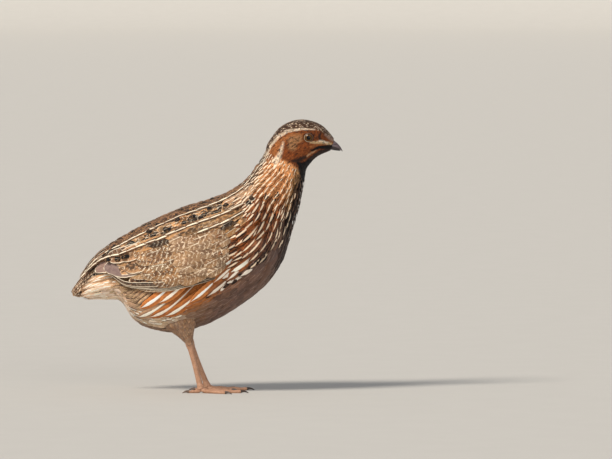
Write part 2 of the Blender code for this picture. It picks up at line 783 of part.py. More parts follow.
def build():
    clear_scene()
    tail(finish("tail feathers", (0.30, 0.19, 0.10), 0.75))
    torso(finish("body feathers", (0.45, 0.27, 0.14), 0.8))
    neck(finish("neck feathers", (0.50, 0.28, 0.13), 0.8))
    head(finish("head feathers", (0.36, 0.17, 0.08), 0.8))
    horn = finish("bill horn", (0.09, 0.08, 0.08), 0.4)
    bill(horn)
    iris = finish("eye", (0.10, 0.06, 0.02), 0.1)
    vanes = finish("wing feathers", (0.42, 0.30, 0.18), 0.75)
    shin = finish("thigh feathers", (0.52, 0.38, 0.24), 0.8)
    scales = finish("leg scales", (0.62, 0.42, 0.30), 0.5)
    claw = finish("claw horn", (0.16, 0.12, 0.10), 0.4)
    for side_name in SIDES:
        eye(side_name, iris)
        wing(side_name, vanes)
        thigh(side_name, shin)
        tarsus(side_name, scales)
        foot(side_name, scales)
        claws(side_name, claw)
    for thing in bpy.data.objects:
        if thing.type == "MESH":
            shade(thing)
    centre_on_origin()


build()
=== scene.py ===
"""A common quail's plumage, eyes, bill and legs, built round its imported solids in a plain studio.

The bird faces +X.  A place on its body form is a station number and an angle: 0 degrees on the
back, 180 on the belly, positive on the bird's left.  Sizes are in millimetres until mesh_object.
"""
import math
from collections import namedtuple

import bpy
import numpy as np
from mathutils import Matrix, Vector


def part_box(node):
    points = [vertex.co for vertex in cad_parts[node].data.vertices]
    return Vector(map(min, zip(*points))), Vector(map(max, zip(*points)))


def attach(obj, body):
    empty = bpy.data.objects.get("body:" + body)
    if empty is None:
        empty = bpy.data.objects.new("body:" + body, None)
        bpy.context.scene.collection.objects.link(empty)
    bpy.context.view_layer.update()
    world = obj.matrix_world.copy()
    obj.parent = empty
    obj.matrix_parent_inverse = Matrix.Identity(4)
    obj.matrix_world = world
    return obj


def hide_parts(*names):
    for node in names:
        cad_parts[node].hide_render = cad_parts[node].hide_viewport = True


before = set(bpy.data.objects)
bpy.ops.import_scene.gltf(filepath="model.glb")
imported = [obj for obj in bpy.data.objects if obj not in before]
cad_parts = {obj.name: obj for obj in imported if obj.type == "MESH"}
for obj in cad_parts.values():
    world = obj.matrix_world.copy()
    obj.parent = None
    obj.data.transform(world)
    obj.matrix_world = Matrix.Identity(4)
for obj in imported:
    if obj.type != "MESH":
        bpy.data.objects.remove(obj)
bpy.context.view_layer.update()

MM = 0.001
TURN = 2 * math.pi
SIDES = {"left": 1, "right": -1}


# ---------------- small helpers
def smooth(low, high, value):
    """0 below low, 1 above high, and a smooth rise between them."""
    part = np.clip((value - low) / (high - low), 0.0, 1.0)
    return part * part * (3 - 2 * part)


def fall(low, high, value):
    """1 below low, 0 above high, and a smooth fall between them."""
    return 1 - smooth(low, high, value)


def blend(first, last, share):
    """The value a share of the way from a first to a last."""
    return first + (last - first) * share


def powered(value, power):
    """A value raised to a power, with its own sign."""
    return np.sign(value) * np.abs(value) ** power


def turns(count, start=0.0):
    """A number of angles spread once round, from a start given in steps."""
    return (np.arange(count) + start) * TURN / count


def unit(vectors):
    """The vectors at length 1."""
    return vectors / np.maximum(np.linalg.norm(vectors, axis=-1, keepdims=True), 1e-9)


def table(*pairs):
    """A function that runs straight between (place, value) pairs."""
    places = [pair[0] for pair in pairs]
    values = [pair[1] for pair in pairs]
    return lambda place: np.interp(place, places, values)


def constant(value):
    return lambda place: np.full(np.shape(place), float(value))


# ---------------- the body form
# back x, back z, belly x, belly z, half width, and where the slice is widest
STATIONS = np.array((
    (-74.4, 55.3, -73.0, 51.7, 1.6, 0.50),      # tail tip
    (-68.6, 63.5, -65.9, 51.7, 6.0, 0.50),      # mid tail
    (-61.5, 73.2, -56.0, 51.7, 10.5, 0.52),     # tail base
    (-54.3, 79.4, -46.6, 50.6, 14.0, 0.55),     # vent
    (-46.6, 84.4, -38.9, 40.2, 18.0, 0.56),     # rump
    (-36.2, 90.3, -29.6, 35.2, 21.4, 0.54),     # loin
    (-25.2, 95.7, -15.3, 33.6, 23.6, 0.52),     # hip
    (-11.4, 101.4, 2.3, 38.8, 24.4, 0.50),      # belly
    (1.2, 105.2, 18.8, 48.4, 24.0, 0.50),       # keel
    (11.1, 109.0, 32.0, 58.9, 22.2, 0.50),      # shoulder
    (18.3, 113.0, 41.4, 71.8, 18.5, 0.50),      # crop
    (23.8, 118.0, 46.3, 86.6, 14.5, 0.50),      # neck base
    (28.5, 124.3, 51.0, 101.8, 11.5, 0.50),     # mid neck
    (32.6, 131.5, 53.9, 116.3, 9.6, 0.50),      # neck top
    (34.2, 136.7, 55.1, 122.7, 9.2, 0.50),      # nape
    (40.3, 145.0, 57.6, 126.3, 9.4, 0.54),      # hind crown
    (46.9, 148.8, 59.5, 128.4, 9.0, 0.56),      # crown
    (54.0, 149.8, 61.5, 129.9, 8.2, 0.56),      # eye
    (62.3, 147.5, 64.1, 131.3, 6.4, 0.56),      # forehead
    (67.4, 143.2, 66.8, 132.4, 4.2, 0.58),      # lore
    (70.8, 138.6, 69.2, 133.4, 2.8, 0.55),      # bill base
))
LAST_STATION = len(STATIONS) - 1
ROUNDNESS = 2.2
SLOPE_STEP = 0.03               # stations to each side over which a slope along the body is taken
EYE_CENTRE = np.array((56.5, 5.5, 140.1))
EYE_RADIUS = 3.8


def model_shift():
    """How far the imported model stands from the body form's own origin."""
    low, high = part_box("eye_left")
    return np.array((low + high) / 2) / MM - EYE_CENTRE


SHIFT = model_shift()


def slices(place):
    """The slices at station numbers, on a Catmull-Rom curve that runs on straight past its ends."""
    place = np.asarray(place, float)
    inside = np.clip(place, 0.0, LAST_STATION)
    row = np.minimum(inside.astype(int), LAST_STATION - 1)
    part = (inside - row)[..., None]
    before = STATIONS[np.maximum(row - 1, 0)]
    low = STATIONS[row]
    high = STATIONS[row + 1]
    after = STATIONS[np.minimum(row + 2, LAST_STATION)]
    slope_low = (high - before) / 2
    slope_high = (after - low) / 2
    cubic = 2 * low - 2 * high + slope_low + slope_high
    square = 3 * high - 3 * low - 2 * slope_low - slope_high
    return ((cubic * part + square) * part + slope_low) * part + low


def form(place, degrees):
    """Points of the body form."""
    back_x, back_z, belly_x, belly_z, half_width, widest = np.moveaxis(slices(place), -1, 0)
    angle = np.radians(degrees)
    rise = powered(np.cos(angle), 2 / ROUNDNESS)
    out = powered(np.sin(angle), 2 / ROUNDNESS)
    down = widest - rise * np.where(rise > 0, widest, 1 - widest)
    return np.stack((blend(back_x, belly_x, down), half_width * out, blend(back_z, belly_z, down)), axis=-1)


def surface(place, degrees):
    """Points of the body form and the directions out of it."""
    place = np.asarray(place, float)
    low = np.clip(place - SLOPE_STEP, 0.0, LAST_STATION - 2 * SLOPE_STEP)
    high = np.clip(place + SLOPE_STEP, 2 * SLOPE_STEP, LAST_STATION)
    forward = form(high, degrees) - form(low, degrees)
    around = form(place, degrees + 1.0) - form(place, degrees - 1.0)
    return form(place, degrees), unit(np.cross(forward, around))


# ---------------- colours
def linear(colour):
    """The linear values of a colour given as it looks on a screen."""
    colour = np.asarray(colour, float)
    return np.where(colour <= 0.04045, colour / 12.92, ((colour + 0.055) / 1.055) ** 2.4)


COLOURS = {name: linear(value) for name, value in {
    "black": (0.05, 0.04, 0.045),
    "soot": (0.11, 0.08, 0.07),
    "dark": (0.20, 0.13, 0.10),
    "umber": (0.36, 0.25, 0.18),
    "rust": (0.66, 0.40, 0.21),
    # the flank's own rufous, made brighter as painted sunlight
    "russet": (0.78, 0.48, 0.25),
    "saddle": (0.54, 0.39, 0.28),
    "chestnut": (0.62, 0.35, 0.17),
    # the neck's own orange, made brighter as painted sunlight
    "orange": (0.91, 0.63, 0.40),
    "cheek": (0.53, 0.28, 0.12),
    "ear": (0.63, 0.45, 0.29),
    "sandy": (0.78, 0.58, 0.38),
    "ash": (0.62, 0.52, 0.46),
    "tertial": (0.82, 0.62, 0.44),
    "covert": (0.72, 0.56, 0.40),
    "grey_covert": (0.68, 0.54, 0.40),
    "buff": (0.84, 0.71, 0.53),
    "cream": (0.98, 0.91, 0.80),
    "stripe": (0.93, 0.83, 0.71),
    "crown": (0.33, 0.23, 0.16),
    "tan": (0.80, 0.62, 0.46),
    "white": (1.00, 0.95, 0.88),
    "mist": (0.74, 0.64, 0.58),
    # the belly's own pale buff, made darker and duller as painted shade
    "belly": (0.54, 0.42, 0.33),
    # the breast front's own pale colour, made darker and greyer as painted shade
    "breast": (0.47, 0.36, 0.31),
    "down": (0.88, 0.72, 0.57),
    # the under tail's own cream, made as bright as it goes as painted sunlight
    "under": (1.00, 0.88, 0.77),
    # the thighs' own buff, made darker as painted shade
    "thigh": (0.62, 0.49, 0.39),
    "lid": (0.30, 0.18, 0.10),
    "brow": (0.86, 0.77, 0.66),
    "grey": (0.60, 0.50, 0.46),
}.items()}

# ellipses painted one over the other: station, angle, reach in stations, reach in degrees, colour
ZONES = (
    (6.0, 0, 9.0, 62, "umber"),             # back
    (10.2, 0, 1.7, 58, "tan"),              # upper back
    (6.2, 80, 3.6, 34, "covert"),           # wing
    (6.5, 180, 6.5, 58, "belly"),           # belly, in its own pale buff made darker and duller: painted shade
    (7.0, 108, 3.4, 23, "russet"),          # flank, in its own rufous made brighter: painted sunlight
    (5.1, 138, 1.5, 20, "stripe"),          # low flank
    (10.3, 90, 2.4, 42, "chestnut"),        # breast side
    (9.4, 180, 3.0, 78, "breast"),          # breast front, in its own pale colour made darker and greyer: painted shade
    (4.5, 118, 1.1, 30, "down"),            # thigh down
    (1.9, 180, 2.9, 98, "under"),           # under tail, in its own cream made as bright as it goes: painted sunlight
    (1.2, 0, 2.8, 72, "umber"),             # upper tail
    (12.8, 76, 1.6, 44, "orange"),          # neck side, in its own orange made brighter: painted sunlight
    (12.0, 0, 2.4, 46, "umber"),            # hind neck
    (11.7, 180, 2.3, 58, "dark"),           # fore neck
)
ZONE_EDGE = (0.72, 1.12)        # shares of an ellipse between which its colour fades
HEAD_EDGE = (12.9, 13.5)        # stations between which the head's colours begin

# strokes on each side of the head: name, softness, colour, and points (x, z, half width)
Stroke = namedtuple("Stroke", "name soft colour points")
HEAD_STROKES = (
    Stroke("cheek", 2.0, "cheek", ((46.0, 134.0, 6.4), (54.0, 134.6, 7.0), (60.5, 137.5, 7.0))),
    Stroke("neck top", 2.2, "orange", ((38.0, 126.0, 2.0), (43.0, 125.4, 2.2), (47.0, 123.0, 2.2))),
    Stroke("nape side", 1.4, "rust", ((41.5, 139.0, 2.2), (38.2, 134.0, 2.8), (36.8, 128.6, 2.4))),
    Stroke("behind the eye", 1.0, "rust", ((52.5, 141.6, 1.2), (46.5, 141.4, 1.2), (43.0, 139.0, 1.2))),
    Stroke("ear", 2.4, "ear", ((51.4, 139.8, 2.0), (48.0, 138.6, 2.8), (47.6, 135.4, 2.4))),
    Stroke("cheek foot", 1.6, "dark", ((54.6, 129.6, 0.9), (50.6, 127.6, 1.2), (47.4, 127.4, 0.7))),
    Stroke("chin", 1.0, "dark",
           ((70.0, 133.4, 0.9), (66.4, 133.4, 1.0), (62.4, 131.6, 1.5), (57.6, 127.6, 2.0),
            (55.0, 123.8, 2.2))),
    Stroke("throat", 1.2, "black", ((57.0, 126.0, 2.4), (53.6, 123.6, 3.0), (54.2, 118.6, 2.6))),
    Stroke("throat edge", 1.0, "black", ((54.0, 124.8, 1.4), (50.6, 126.2, 0.9))),
    Stroke("lore", 0.8, "cheek", ((61.6, 142.2, 1.4), (63.6, 140.8, 1.3))),
    Stroke("face", 0.8, "buff", ((57.6, 137.6, 0.5), (62.8, 137.5, 0.9), (68.6, 136.7, 0.8))),
    Stroke("face light", 0.5, "cream", ((62.6, 138.4, 0.5), (64.6, 138.0, 0.6), (66.8, 137.4, 0.4))),
    Stroke("lore spot", 0.5, "dark", ((63.2, 142.8, 0.4), (62.2, 140.8, 0.7), (62.9, 139.4, 0.5))),
    Stroke("under the face", 0.5, "rust", ((57.4, 135.0, 0.7), (61.6, 136.2, 0.5), (64.5, 136.2, 0.3))),
    Stroke("gape", 0.3, "black",
           ((71.0, 134.9, 1.3), (66.6, 135.0, 1.0), (62.0, 134.9, 0.8), (58.0, 133.0, 0.4))),
    Stroke("moustache", 0.9, "tan", ((61.0, 133.4, 0.0), (58.4, 132.0, 0.4), (55.8, 130.2, 0.4))),
    Stroke("forehead", 1.2, "umber", ((69.6, 140.0, 1.5), (66.0, 143.6, 2.0), (61.0, 147.2, 1.6))),
    Stroke("frost", 1.4, "ash", ((70.8, 138.2, 0.9), (68.6, 139.6, 1.0), (65.6, 141.6, 0.4))),
    Stroke("crown edge", 0.6, "umber",
           ((61.0, 145.8, 0.5), (52.0, 146.6, 0.5), (44.5, 145.3, 0.5), (38.8, 141.6, 0.4))),
    Stroke("brow", 0.35, "brow",
           ((61.6, 144.2, 0.1), (58.0, 144.7, 0.4), (52.4, 144.9, 0.65), (45.4, 143.7, 0.85),
            (40.4, 141.0, 0.85), (36.5, 136.6, 0.7), (34.5, 132.3, 0.5), (32.8, 127.6, 0.5))),
    Stroke("neck stripe", 1.7, "stripe",
           ((42.6, 137.6, 0.2), (41.8, 134.4, 0.7), (40.6, 130.8, 1.1), (38.8, 126.8, 1.7))),
)
OFF_MIDDLE = ("brow", "crown edge")
BROW_CLEAR = 2.2                # these keep this far from the middle of the nape
# the height of the brow at each x, above which the crown is dark
BROW_HEIGHT = table((30.0, 124.0), (34.5, 132.5), (36.5, 136.8), (40.5, 141.3), (45.4, 143.7), (52.4, 145.0),
                    (58.0, 144.7), (63.0, 143.6), (70.0, 138.5))
CROWN_LINE = 0.55               # half width of the pale line along the crown
CROWN_LINE_STRENGTH = 0.8


def paint(base, mask, colour):
    """Colours with a named colour laid over them as strongly as the mask says."""
    return blend(base, COLOURS[colour], mask[..., None])


def ripple(points, scale):
    """A smooth random-looking value between -1 and 1."""
    x, y, z = (points[..., axis] / scale for axis in range(3))
    return np.sin(x * 2.1 + 1.3 * np.sin(z * 1.7 + y)) * np.cos(z * 2.3 + 1.1 * np.sin(y * 1.9 - x))


def stroke_distance(points, line):
    """How far points are, seen from the side, outside a stroke of (x, z, half width) points."""
    line = np.array(line)
    best = np.full(points.shape[:-1], np.inf)
    flat = points[..., (0, 2)]
    for start, end in zip(line[:-1], line[1:]):
        along = end[:2] - start[:2]
        share = np.clip(((flat - start[:2]) @ along) / (along @ along), 0.0, 1.0)
        nearest = start[:2] + share[..., None] * along
        away = np.linalg.norm(flat - nearest, axis=-1) - blend(start[2], end[2], share)
        best = np.minimum(best, away)
    return best


def markings(place, degrees):
    """The plumage's own colour at places on the body form."""
    points = form(place, degrees)
    angle = np.abs(degrees)
    colour = np.broadcast_to(COLOURS["sandy"], points.shape)
    for middle, middle_angle, far, wide, name in ZONES:
        away = np.hypot((place - middle) / far, (angle - middle_angle) / wide)
        colour = paint(colour, fall(*ZONE_EDGE, away + 0.06 * ripple(points, 4.0)), name)
    return head_markings(colour, points, place, angle)


def head_markings(colour, points, place, angle):
    """The head's colours and strokes, laid over the body's colours."""
    head = smooth(*HEAD_EDGE, place - 0.35 * smooth(60, 120, angle))
    above = smooth(-0.6, 0.6, points[..., 2] - BROW_HEIGHT(points[..., 0]))
    colour = paint(colour, head, "cheek")
    colour = paint(colour, head * above, "crown")
    off_middle = np.abs(points[..., 1])
    for stroke in HEAD_STROKES:
        away = stroke_distance(points, stroke.points) + 0.18 * ripple(points, 1.1)
        mask = fall(-stroke.soft / 2, stroke.soft / 2, away)
        if stroke.name in OFF_MIDDLE:
            mask = mask * smooth(BROW_CLEAR - 0.8, BROW_CLEAR + 0.8, off_middle)
        colour = paint(colour, mask, stroke.colour)
    crown = smooth(13.4, 14.2, place) * fall(18.2, 19.2, place) * (angle < 90)
    crown = crown * fall(CROWN_LINE - 0.2, CROWN_LINE + 0.3, off_middle)
    return paint(colour, crown * CROWN_LINE_STRENGTH, "buff")


# ---------------- meshes
SHARP_ANGLE = math.radians(50)


def link(name, data):
    """A new object of the scene."""
    thing = bpy.data.objects.new(name, data)
    bpy.context.scene.collection.objects.link(thing)
    return thing


def smooth_object(name, points, faces, material):
    """A new smooth mesh from points in metres and groups of faces with as many corners each."""
    mesh = bpy.data.meshes.new(name)
    mesh.from_pydata(points.tolist(), [], [face for group in faces for face in group.tolist()])
    mesh.shade_smooth()
    mesh.materials.append(material)
    return link(name, mesh)


def mesh_object(name, points, faces, material, slot, replaced=()):
    """A piece of the bird from points in millimetres and faces of three or four corners."""
    thing = smooth_object(name, (points.reshape(-1, 3) + SHIFT) * MM, faces, material)
    thing.data.validate()
    thing.data.set_sharp_from_angle(angle=SHARP_ANGLE)
    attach(thing, "root")
    if replaced:
        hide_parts(*replaced)
    return thing


def add_uv(mesh, name, values):
    """A UV map from one pair of values a point."""
    corners = np.empty(len(mesh.loops), np.int32)
    mesh.loops.foreach_get("vertex_index", corners)
    layer = mesh.uv_layers.new(name=name)
    layer.data.foreach_set("uv", values[corners].astype(np.float32).ravel())


def add_colour(mesh, name, values):
    """A colour attribute from three or four values a point."""
    full = np.ones((len(mesh.vertices), 4), np.float32)
    full[:, :values.shape[-1]] = values
    mesh.attributes.new(name, "FLOAT_COLOR", "POINT").data.foreach_set("color", full.ravel())


def grid_faces(rows, columns, closed=False):
    """Four-cornered faces between rows of points, joined round where the rows are rings."""
    wide = columns if closed else columns + 1
    row, column = np.meshgrid(np.arange(rows), np.arange(columns), indexing="ij")
    low = row * wide + column
    beside = row * wide + (column + 1) % wide
    return np.stack((low, beside, beside + wide, low + wide), axis=-1).reshape(-1, 4)


def ring_shell(rings):
    """Points and faces of a closed shell through rings of points, with a fan at each end."""
    count, sides = rings.shape[:2]
    points = np.concatenate((rings.reshape(-1, 3), rings[0].mean(0)[None], rings[-1].mean(0)[None]))
    side = np.arange(sides)
    after = (side + 1) % sides
    first = np.full(sides, count * sides)
    last = (count - 1) * sides
    fans = np.concatenate((np.stack((first, after, side), axis=-1),
                           np.stack((first + 1, last + side, last + after), axis=-1)))
    return points, outward(points, [grid_faces(count - 1, sides, closed=True), fans])


def rings_object(name, rings, material, slot, replaced=()):
    """A closed piece through rings of points."""
    return mesh_object(name, *ring_shell(rings), material, slot, replaced)


def outward(points, faces):
    """The faces, turned over if they enclose a negative volume."""
    volume = 0.0
    for group in faces:
        a, b, c = (points[group[:, corner]] for corner in range(3))
        volume += np.einsum("ij,ij->i", a, np.cross(b, c)).sum()
        if group.shape[1] == 4:
            d = points[group[:, 3]]
            volume += np.einsum("ij,ij->i", a, np.cross(c, d)).sum()
    return faces if volume > 0 else [group[:, ::-1] for group in faces]


# ---------------- material nodes
class Value:
    """An output of a material node that can be used in sums and products."""

    def __init__(self, nodes, socket):
        self.nodes = nodes
        self.socket = socket

    def __add__(self, other):
        return self.nodes.math("ADD", self, other)

    def __sub__(self, other):
        return self.nodes.math("SUBTRACT", self, other)

    def __rsub__(self, other):
        return self.nodes.math("SUBTRACT", other, self)

    def __mul__(self, other):
        return self.nodes.math("MULTIPLY", self, other)

    def __truediv__(self, other):
        return self.nodes.math("DIVIDE", self, other)


class Nodes:
    """Short calls for building one material's nodes.  Their arguments are numbers, colours or Values."""

    def __init__(self, name):
        self.material = bpy.data.materials.new(name)
        self.material.use_nodes = True
        self.tree = self.material.node_tree
        self.shader = self.tree.nodes["Principled BSDF"]

    def make(self, kind, inputs=(), **settings):
        """A new node."""
        made = self.tree.nodes.new(kind)
        for key, value in settings.items():
            setattr(made, key, value)
        for key, value in dict(inputs).items():
            self.put(made.inputs[key], value)
        return made

    def node(self, kind, inputs=(), output=0, **settings):
        """One output of a new node."""
        return Value(self, self.make(kind, inputs, **settings).outputs[output])

    def split(self, kind, value):
        """The three parts of a vector (XYZ) or a colour (Color)."""
        made = self.make(f"ShaderNodeSeparate{kind}", {0: value})
        return [Value(self, part) for part in made.outputs[:3]]

    def put(self, socket, value):
        """Link or set an input."""
        if isinstance(value, Value):
            self.tree.links.new(value.socket, socket)
        elif hasattr(value, "__len__") and len(value) == 3 and len(socket.default_value) == 4:
            socket.default_value = (*value, 1.0)
        else:
            socket.default_value = value

    def math(self, operation, first, second=0.0):
        return self.node("ShaderNodeMath", {0: first, 1: second}, operation=operation)

    def ramp(self, value, low, high, at_low=0.0, at_high=1.0):
        """A smooth step of a value."""
        inputs = {"Value": value, "From Min": low, "From Max": high, "To Min": at_low, "To Max": at_high}
        return self.node("ShaderNodeMapRange", inputs, interpolation_type="SMOOTHSTEP")

    def mix(self, share, first, second, blend_type="MIX"):
        """A share of a second colour over a first, or times it."""
        return self.node("ShaderNodeMix", {0: share, 6: first, 7: second}, output=2, data_type="RGBA",
                         blend_type=blend_type, clamp_result=True)

    def attribute(self, name):
        """An attribute's colour, and its first three values and its fourth."""
        made = self.make("ShaderNodeAttribute", attribute_name=name)
        colour = Value(self, made.outputs["Color"])
        return colour, (*self.split("Color", colour), Value(self, made.outputs["Alpha"]))

    def place(self):
        """Coordinates that are fixed to the piece."""
        return self.node("ShaderNodeTexCoord", output="Object")

    def noise(self, vector, scale, detail=2.0, roughness=0.5):
        inputs = {"Vector": vector, "Scale": scale, "Detail": detail, "Roughness": roughness}
        return self.node("ShaderNodeTexNoise", inputs)

    def vector(self, x, y, z):
        return self.node("ShaderNodeCombineXYZ", {0: x, 1: y, 2: z})

    def bump(self, height, strength, distance):
        return self.node("ShaderNodeBump", {"Height": height, "Strength": strength, "Distance": distance})

    def finish(self, colour, roughness, normal=None, **constants):
        """Link colour, roughness and normal, and set the shader's constant values."""
        self.put(self.shader.inputs["Base Color"], colour)
        self.put(self.shader.inputs["Roughness"], roughness)
        if normal is not None:
            self.put(self.shader.inputs["Normal"], normal)
        for key, value in constants.items():
            self.put(self.shader.inputs[key.replace("_", " ")], value)
        return self.material


BARB_TURNS = 19.0               # radians of the barbs' shading for each millimetre
BARB_SLANT = 0.8                # how far barbs lean towards the tip, and bars bow, for each millimetre out
BAR_BOW = 0.7
BAR_WOBBLE = 3.4                # how far noise bends the bars, in millimetres
ROOT_SHADE = 0.55               # how dark a vane is where others cover its root


class VaneNodes(Nodes):
    """Nodes that colour vanes from their own values, in steps that are laid one over the other."""

    def __init__(self, name):
        super().__init__(name)
        u, self.v, _ = self.split("XYZ", self.node("ShaderNodeUVMap", uv_map="Vane"))
        self.web, (_, _, _, self.tone) = self.attribute("Web")
        self.bar_colour, (_, _, _, self.bar_width) = self.attribute("Bar")
        self.dark_colour, (_, _, _, self.wide) = self.attribute("Dark")
        self.streak_colour, (_, _, _, self.streak_start) = self.attribute("Streak")
        _, (self.streak, self.bars, self.darkness, bar_gap) = self.attribute("Marks")
        _, (self.seed, self.fringe, self.dark_reach, long) = self.attribute("More")
        self.side = u * 2.0 - 1.0
        self.off = self.math("ABSOLUTE", self.side)
        # millimetres along and across the vane, and from its tip
        self.along = self.v * long
        self.out = self.off * self.wide * 0.5
        self.from_tip = long - self.along
        # noise runs in its own way on each vane
        across = self.side * self.wide * 0.28 + self.seed * 91.0
        self.own = self.vector(across, self.along * 0.42, self.seed * 57.0)
        self.wobble = self.noise(self.own, 1.6) - 0.5
        self.speckle = self.noise(self.own, 9.0, 3.0)
        # bars cross the vane in bows
        bowed = self.along - self.out * BAR_BOW + self.wobble * BAR_WOBBLE
        self.wave = self.math("SINE", (bowed / bar_gap + self.seed) * TURN)

    def mottled_web(self):
        """The web, mottled finely and broadly."""
        fine = self.ramp(self.speckle, 0.35, 0.75, 0.0, 0.30)
        broad = self.ramp(self.noise(self.own, 0.8), 0.42, 0.62, 0.0, 0.8)
        colour = self.mix(fine, self.web, (0.55, 0.48, 0.42), "MULTIPLY")
        return self.mix(broad, colour, (0.80, 0.76, 0.80), "MULTIPLY")

    def bar_edges(self, colour):
        """A dark edge along every bar."""
        edge = self.ramp(self.wave, -0.5, 0.1) * (1.0 - self.ramp(self.wave, 0.25, 0.6))
        return self.mix(edge * self.bars * self.darkness * 0.8, colour, self.dark_colour)

    def dark_patch(self, colour):
        """A dark patch on both sides of a shaft streak, or more on one side where there is none."""
        lean = (self.seed - 0.5) * self.ramp(self.streak, 0.10, 0.20, 1.1, 0.0)
        near = self.math("ABSOLUTE", self.side - lean) + self.wobble * 0.55
        blot = self.ramp(near, self.dark_reach - 0.16, self.dark_reach + 0.12, 1.0, 0.0)
        blot = blot * self.ramp(self.v, 0.22, 0.42) * self.ramp(self.from_tip, 0.5, 1.4)
        blot = blot * self.ramp(self.noise(self.own, 0.9), 0.38, 0.52, 0.1, 1.0)
        return self.mix(blot * self.darkness, colour, self.dark_colour)

    def bars_and_rim(self, colour):
        """Broken pale bars and a pale rim."""
        broken = self.ramp(self.noise(self.own, 1.3), 0.38, 0.58, 0.15, 1.0)
        band = self.ramp(self.wave, self.bar_width, self.bar_width + 0.35) * self.bars * broken
        colour = self.mix(band, colour, self.bar_colour)
        rim = self.math("MINIMUM", self.wide * 0.5 - self.out, self.from_tip * 0.8) + self.wobble * 0.3
        rim = self.ramp(rim, 0.12, self.fringe * 0.55 + 0.2, 1.0, 0.0)
        return self.mix(rim * self.fringe, colour, self.bar_colour)

    def shaft_streak(self, colour):
        """A streak that swells towards the tip, and runs on to the tip where it is broad."""
        narrow_at = self.ramp(self.streak_start, 0.80, 0.84, 0.74, 0.92)
        swell = self.streak * self.ramp(self.v, 0.40, 0.85, self.streak_start, 1.0)
        swell = swell * self.ramp(self.v, narrow_at, 1.0, 1.0, 0.2)
        line = self.ramp(self.off + self.wobble * 0.10, swell - 0.07, swell + 0.07, 1.0, 0.0)
        return self.mix(line * self.ramp(self.streak, 0.0, 0.03), colour, self.streak_colour)


def plumage_material():
    """Feathers with their markings, fine barbs, and the shade where others cover their roots."""
    n = VaneNodes("plumage")
    colour = n.dark_patch(n.bar_edges(n.mottled_web()))
    colour = n.shaft_streak(n.bars_and_rim(colour))
    barbs = n.math("SINE", (n.along - n.out * BARB_SLANT) * BARB_TURNS + n.wobble * 3.0)
    shade = (barbs * 0.05 + n.ramp(n.v, 0.05, 0.42, ROOT_SHADE, 1.0)) * n.tone
    shade = n.node("ShaderNodeCombineColor", {0: shade, 1: shade, 2: shade})
    colour = n.mix(1.0, colour, shade, "MULTIPLY")
    height = barbs * 0.5 + n.ramp(n.off, 0.0, 0.09, 1.0, 0.0) * 1.2
    return n.finish(colour, n.ramp(n.speckle, 0.2, 0.8, 0.60, 0.80), n.bump(height, 0.35, 0.00012),
                    Specular_IOR_Level=0.18, Sheen_Weight=0.08, Sheen_Roughness=0.5)


def skin_material():
    """Down under the feathers, with the coat's own markings."""
    n = Nodes("down")
    web, _ = n.attribute("Web")
    grain = n.noise(n.place(), 1400.0, 4.0, 0.65)
    colour = n.mix(n.ramp(grain, 0.3, 0.7, 1.0, 0.0), web, (0.35, 0.30, 0.27), "MULTIPLY")
    return n.finish(colour, 0.85, n.bump(grain, 0.6, 0.0004), Specular_IOR_Level=0.15)


# ---------------- vanes
PROFILE_AT = (0.0, 0.12, 0.3, 0.5, 0.68, 0.82, 0.93, 1.0)
PROFILES = {
    "rounded": (0.30, 0.62, 0.88, 1.0, 1.0, 0.90, 0.62, 0.10),
    "lance": (0.32, 0.62, 0.90, 1.0, 0.88, 0.64, 0.36, 0.07),
    "plume": (0.28, 0.52, 0.78, 0.96, 1.0, 0.86, 0.52, 0.08),
    "flight": (0.40, 0.72, 0.94, 1.0, 0.98, 0.88, 0.62, 0.12),
}
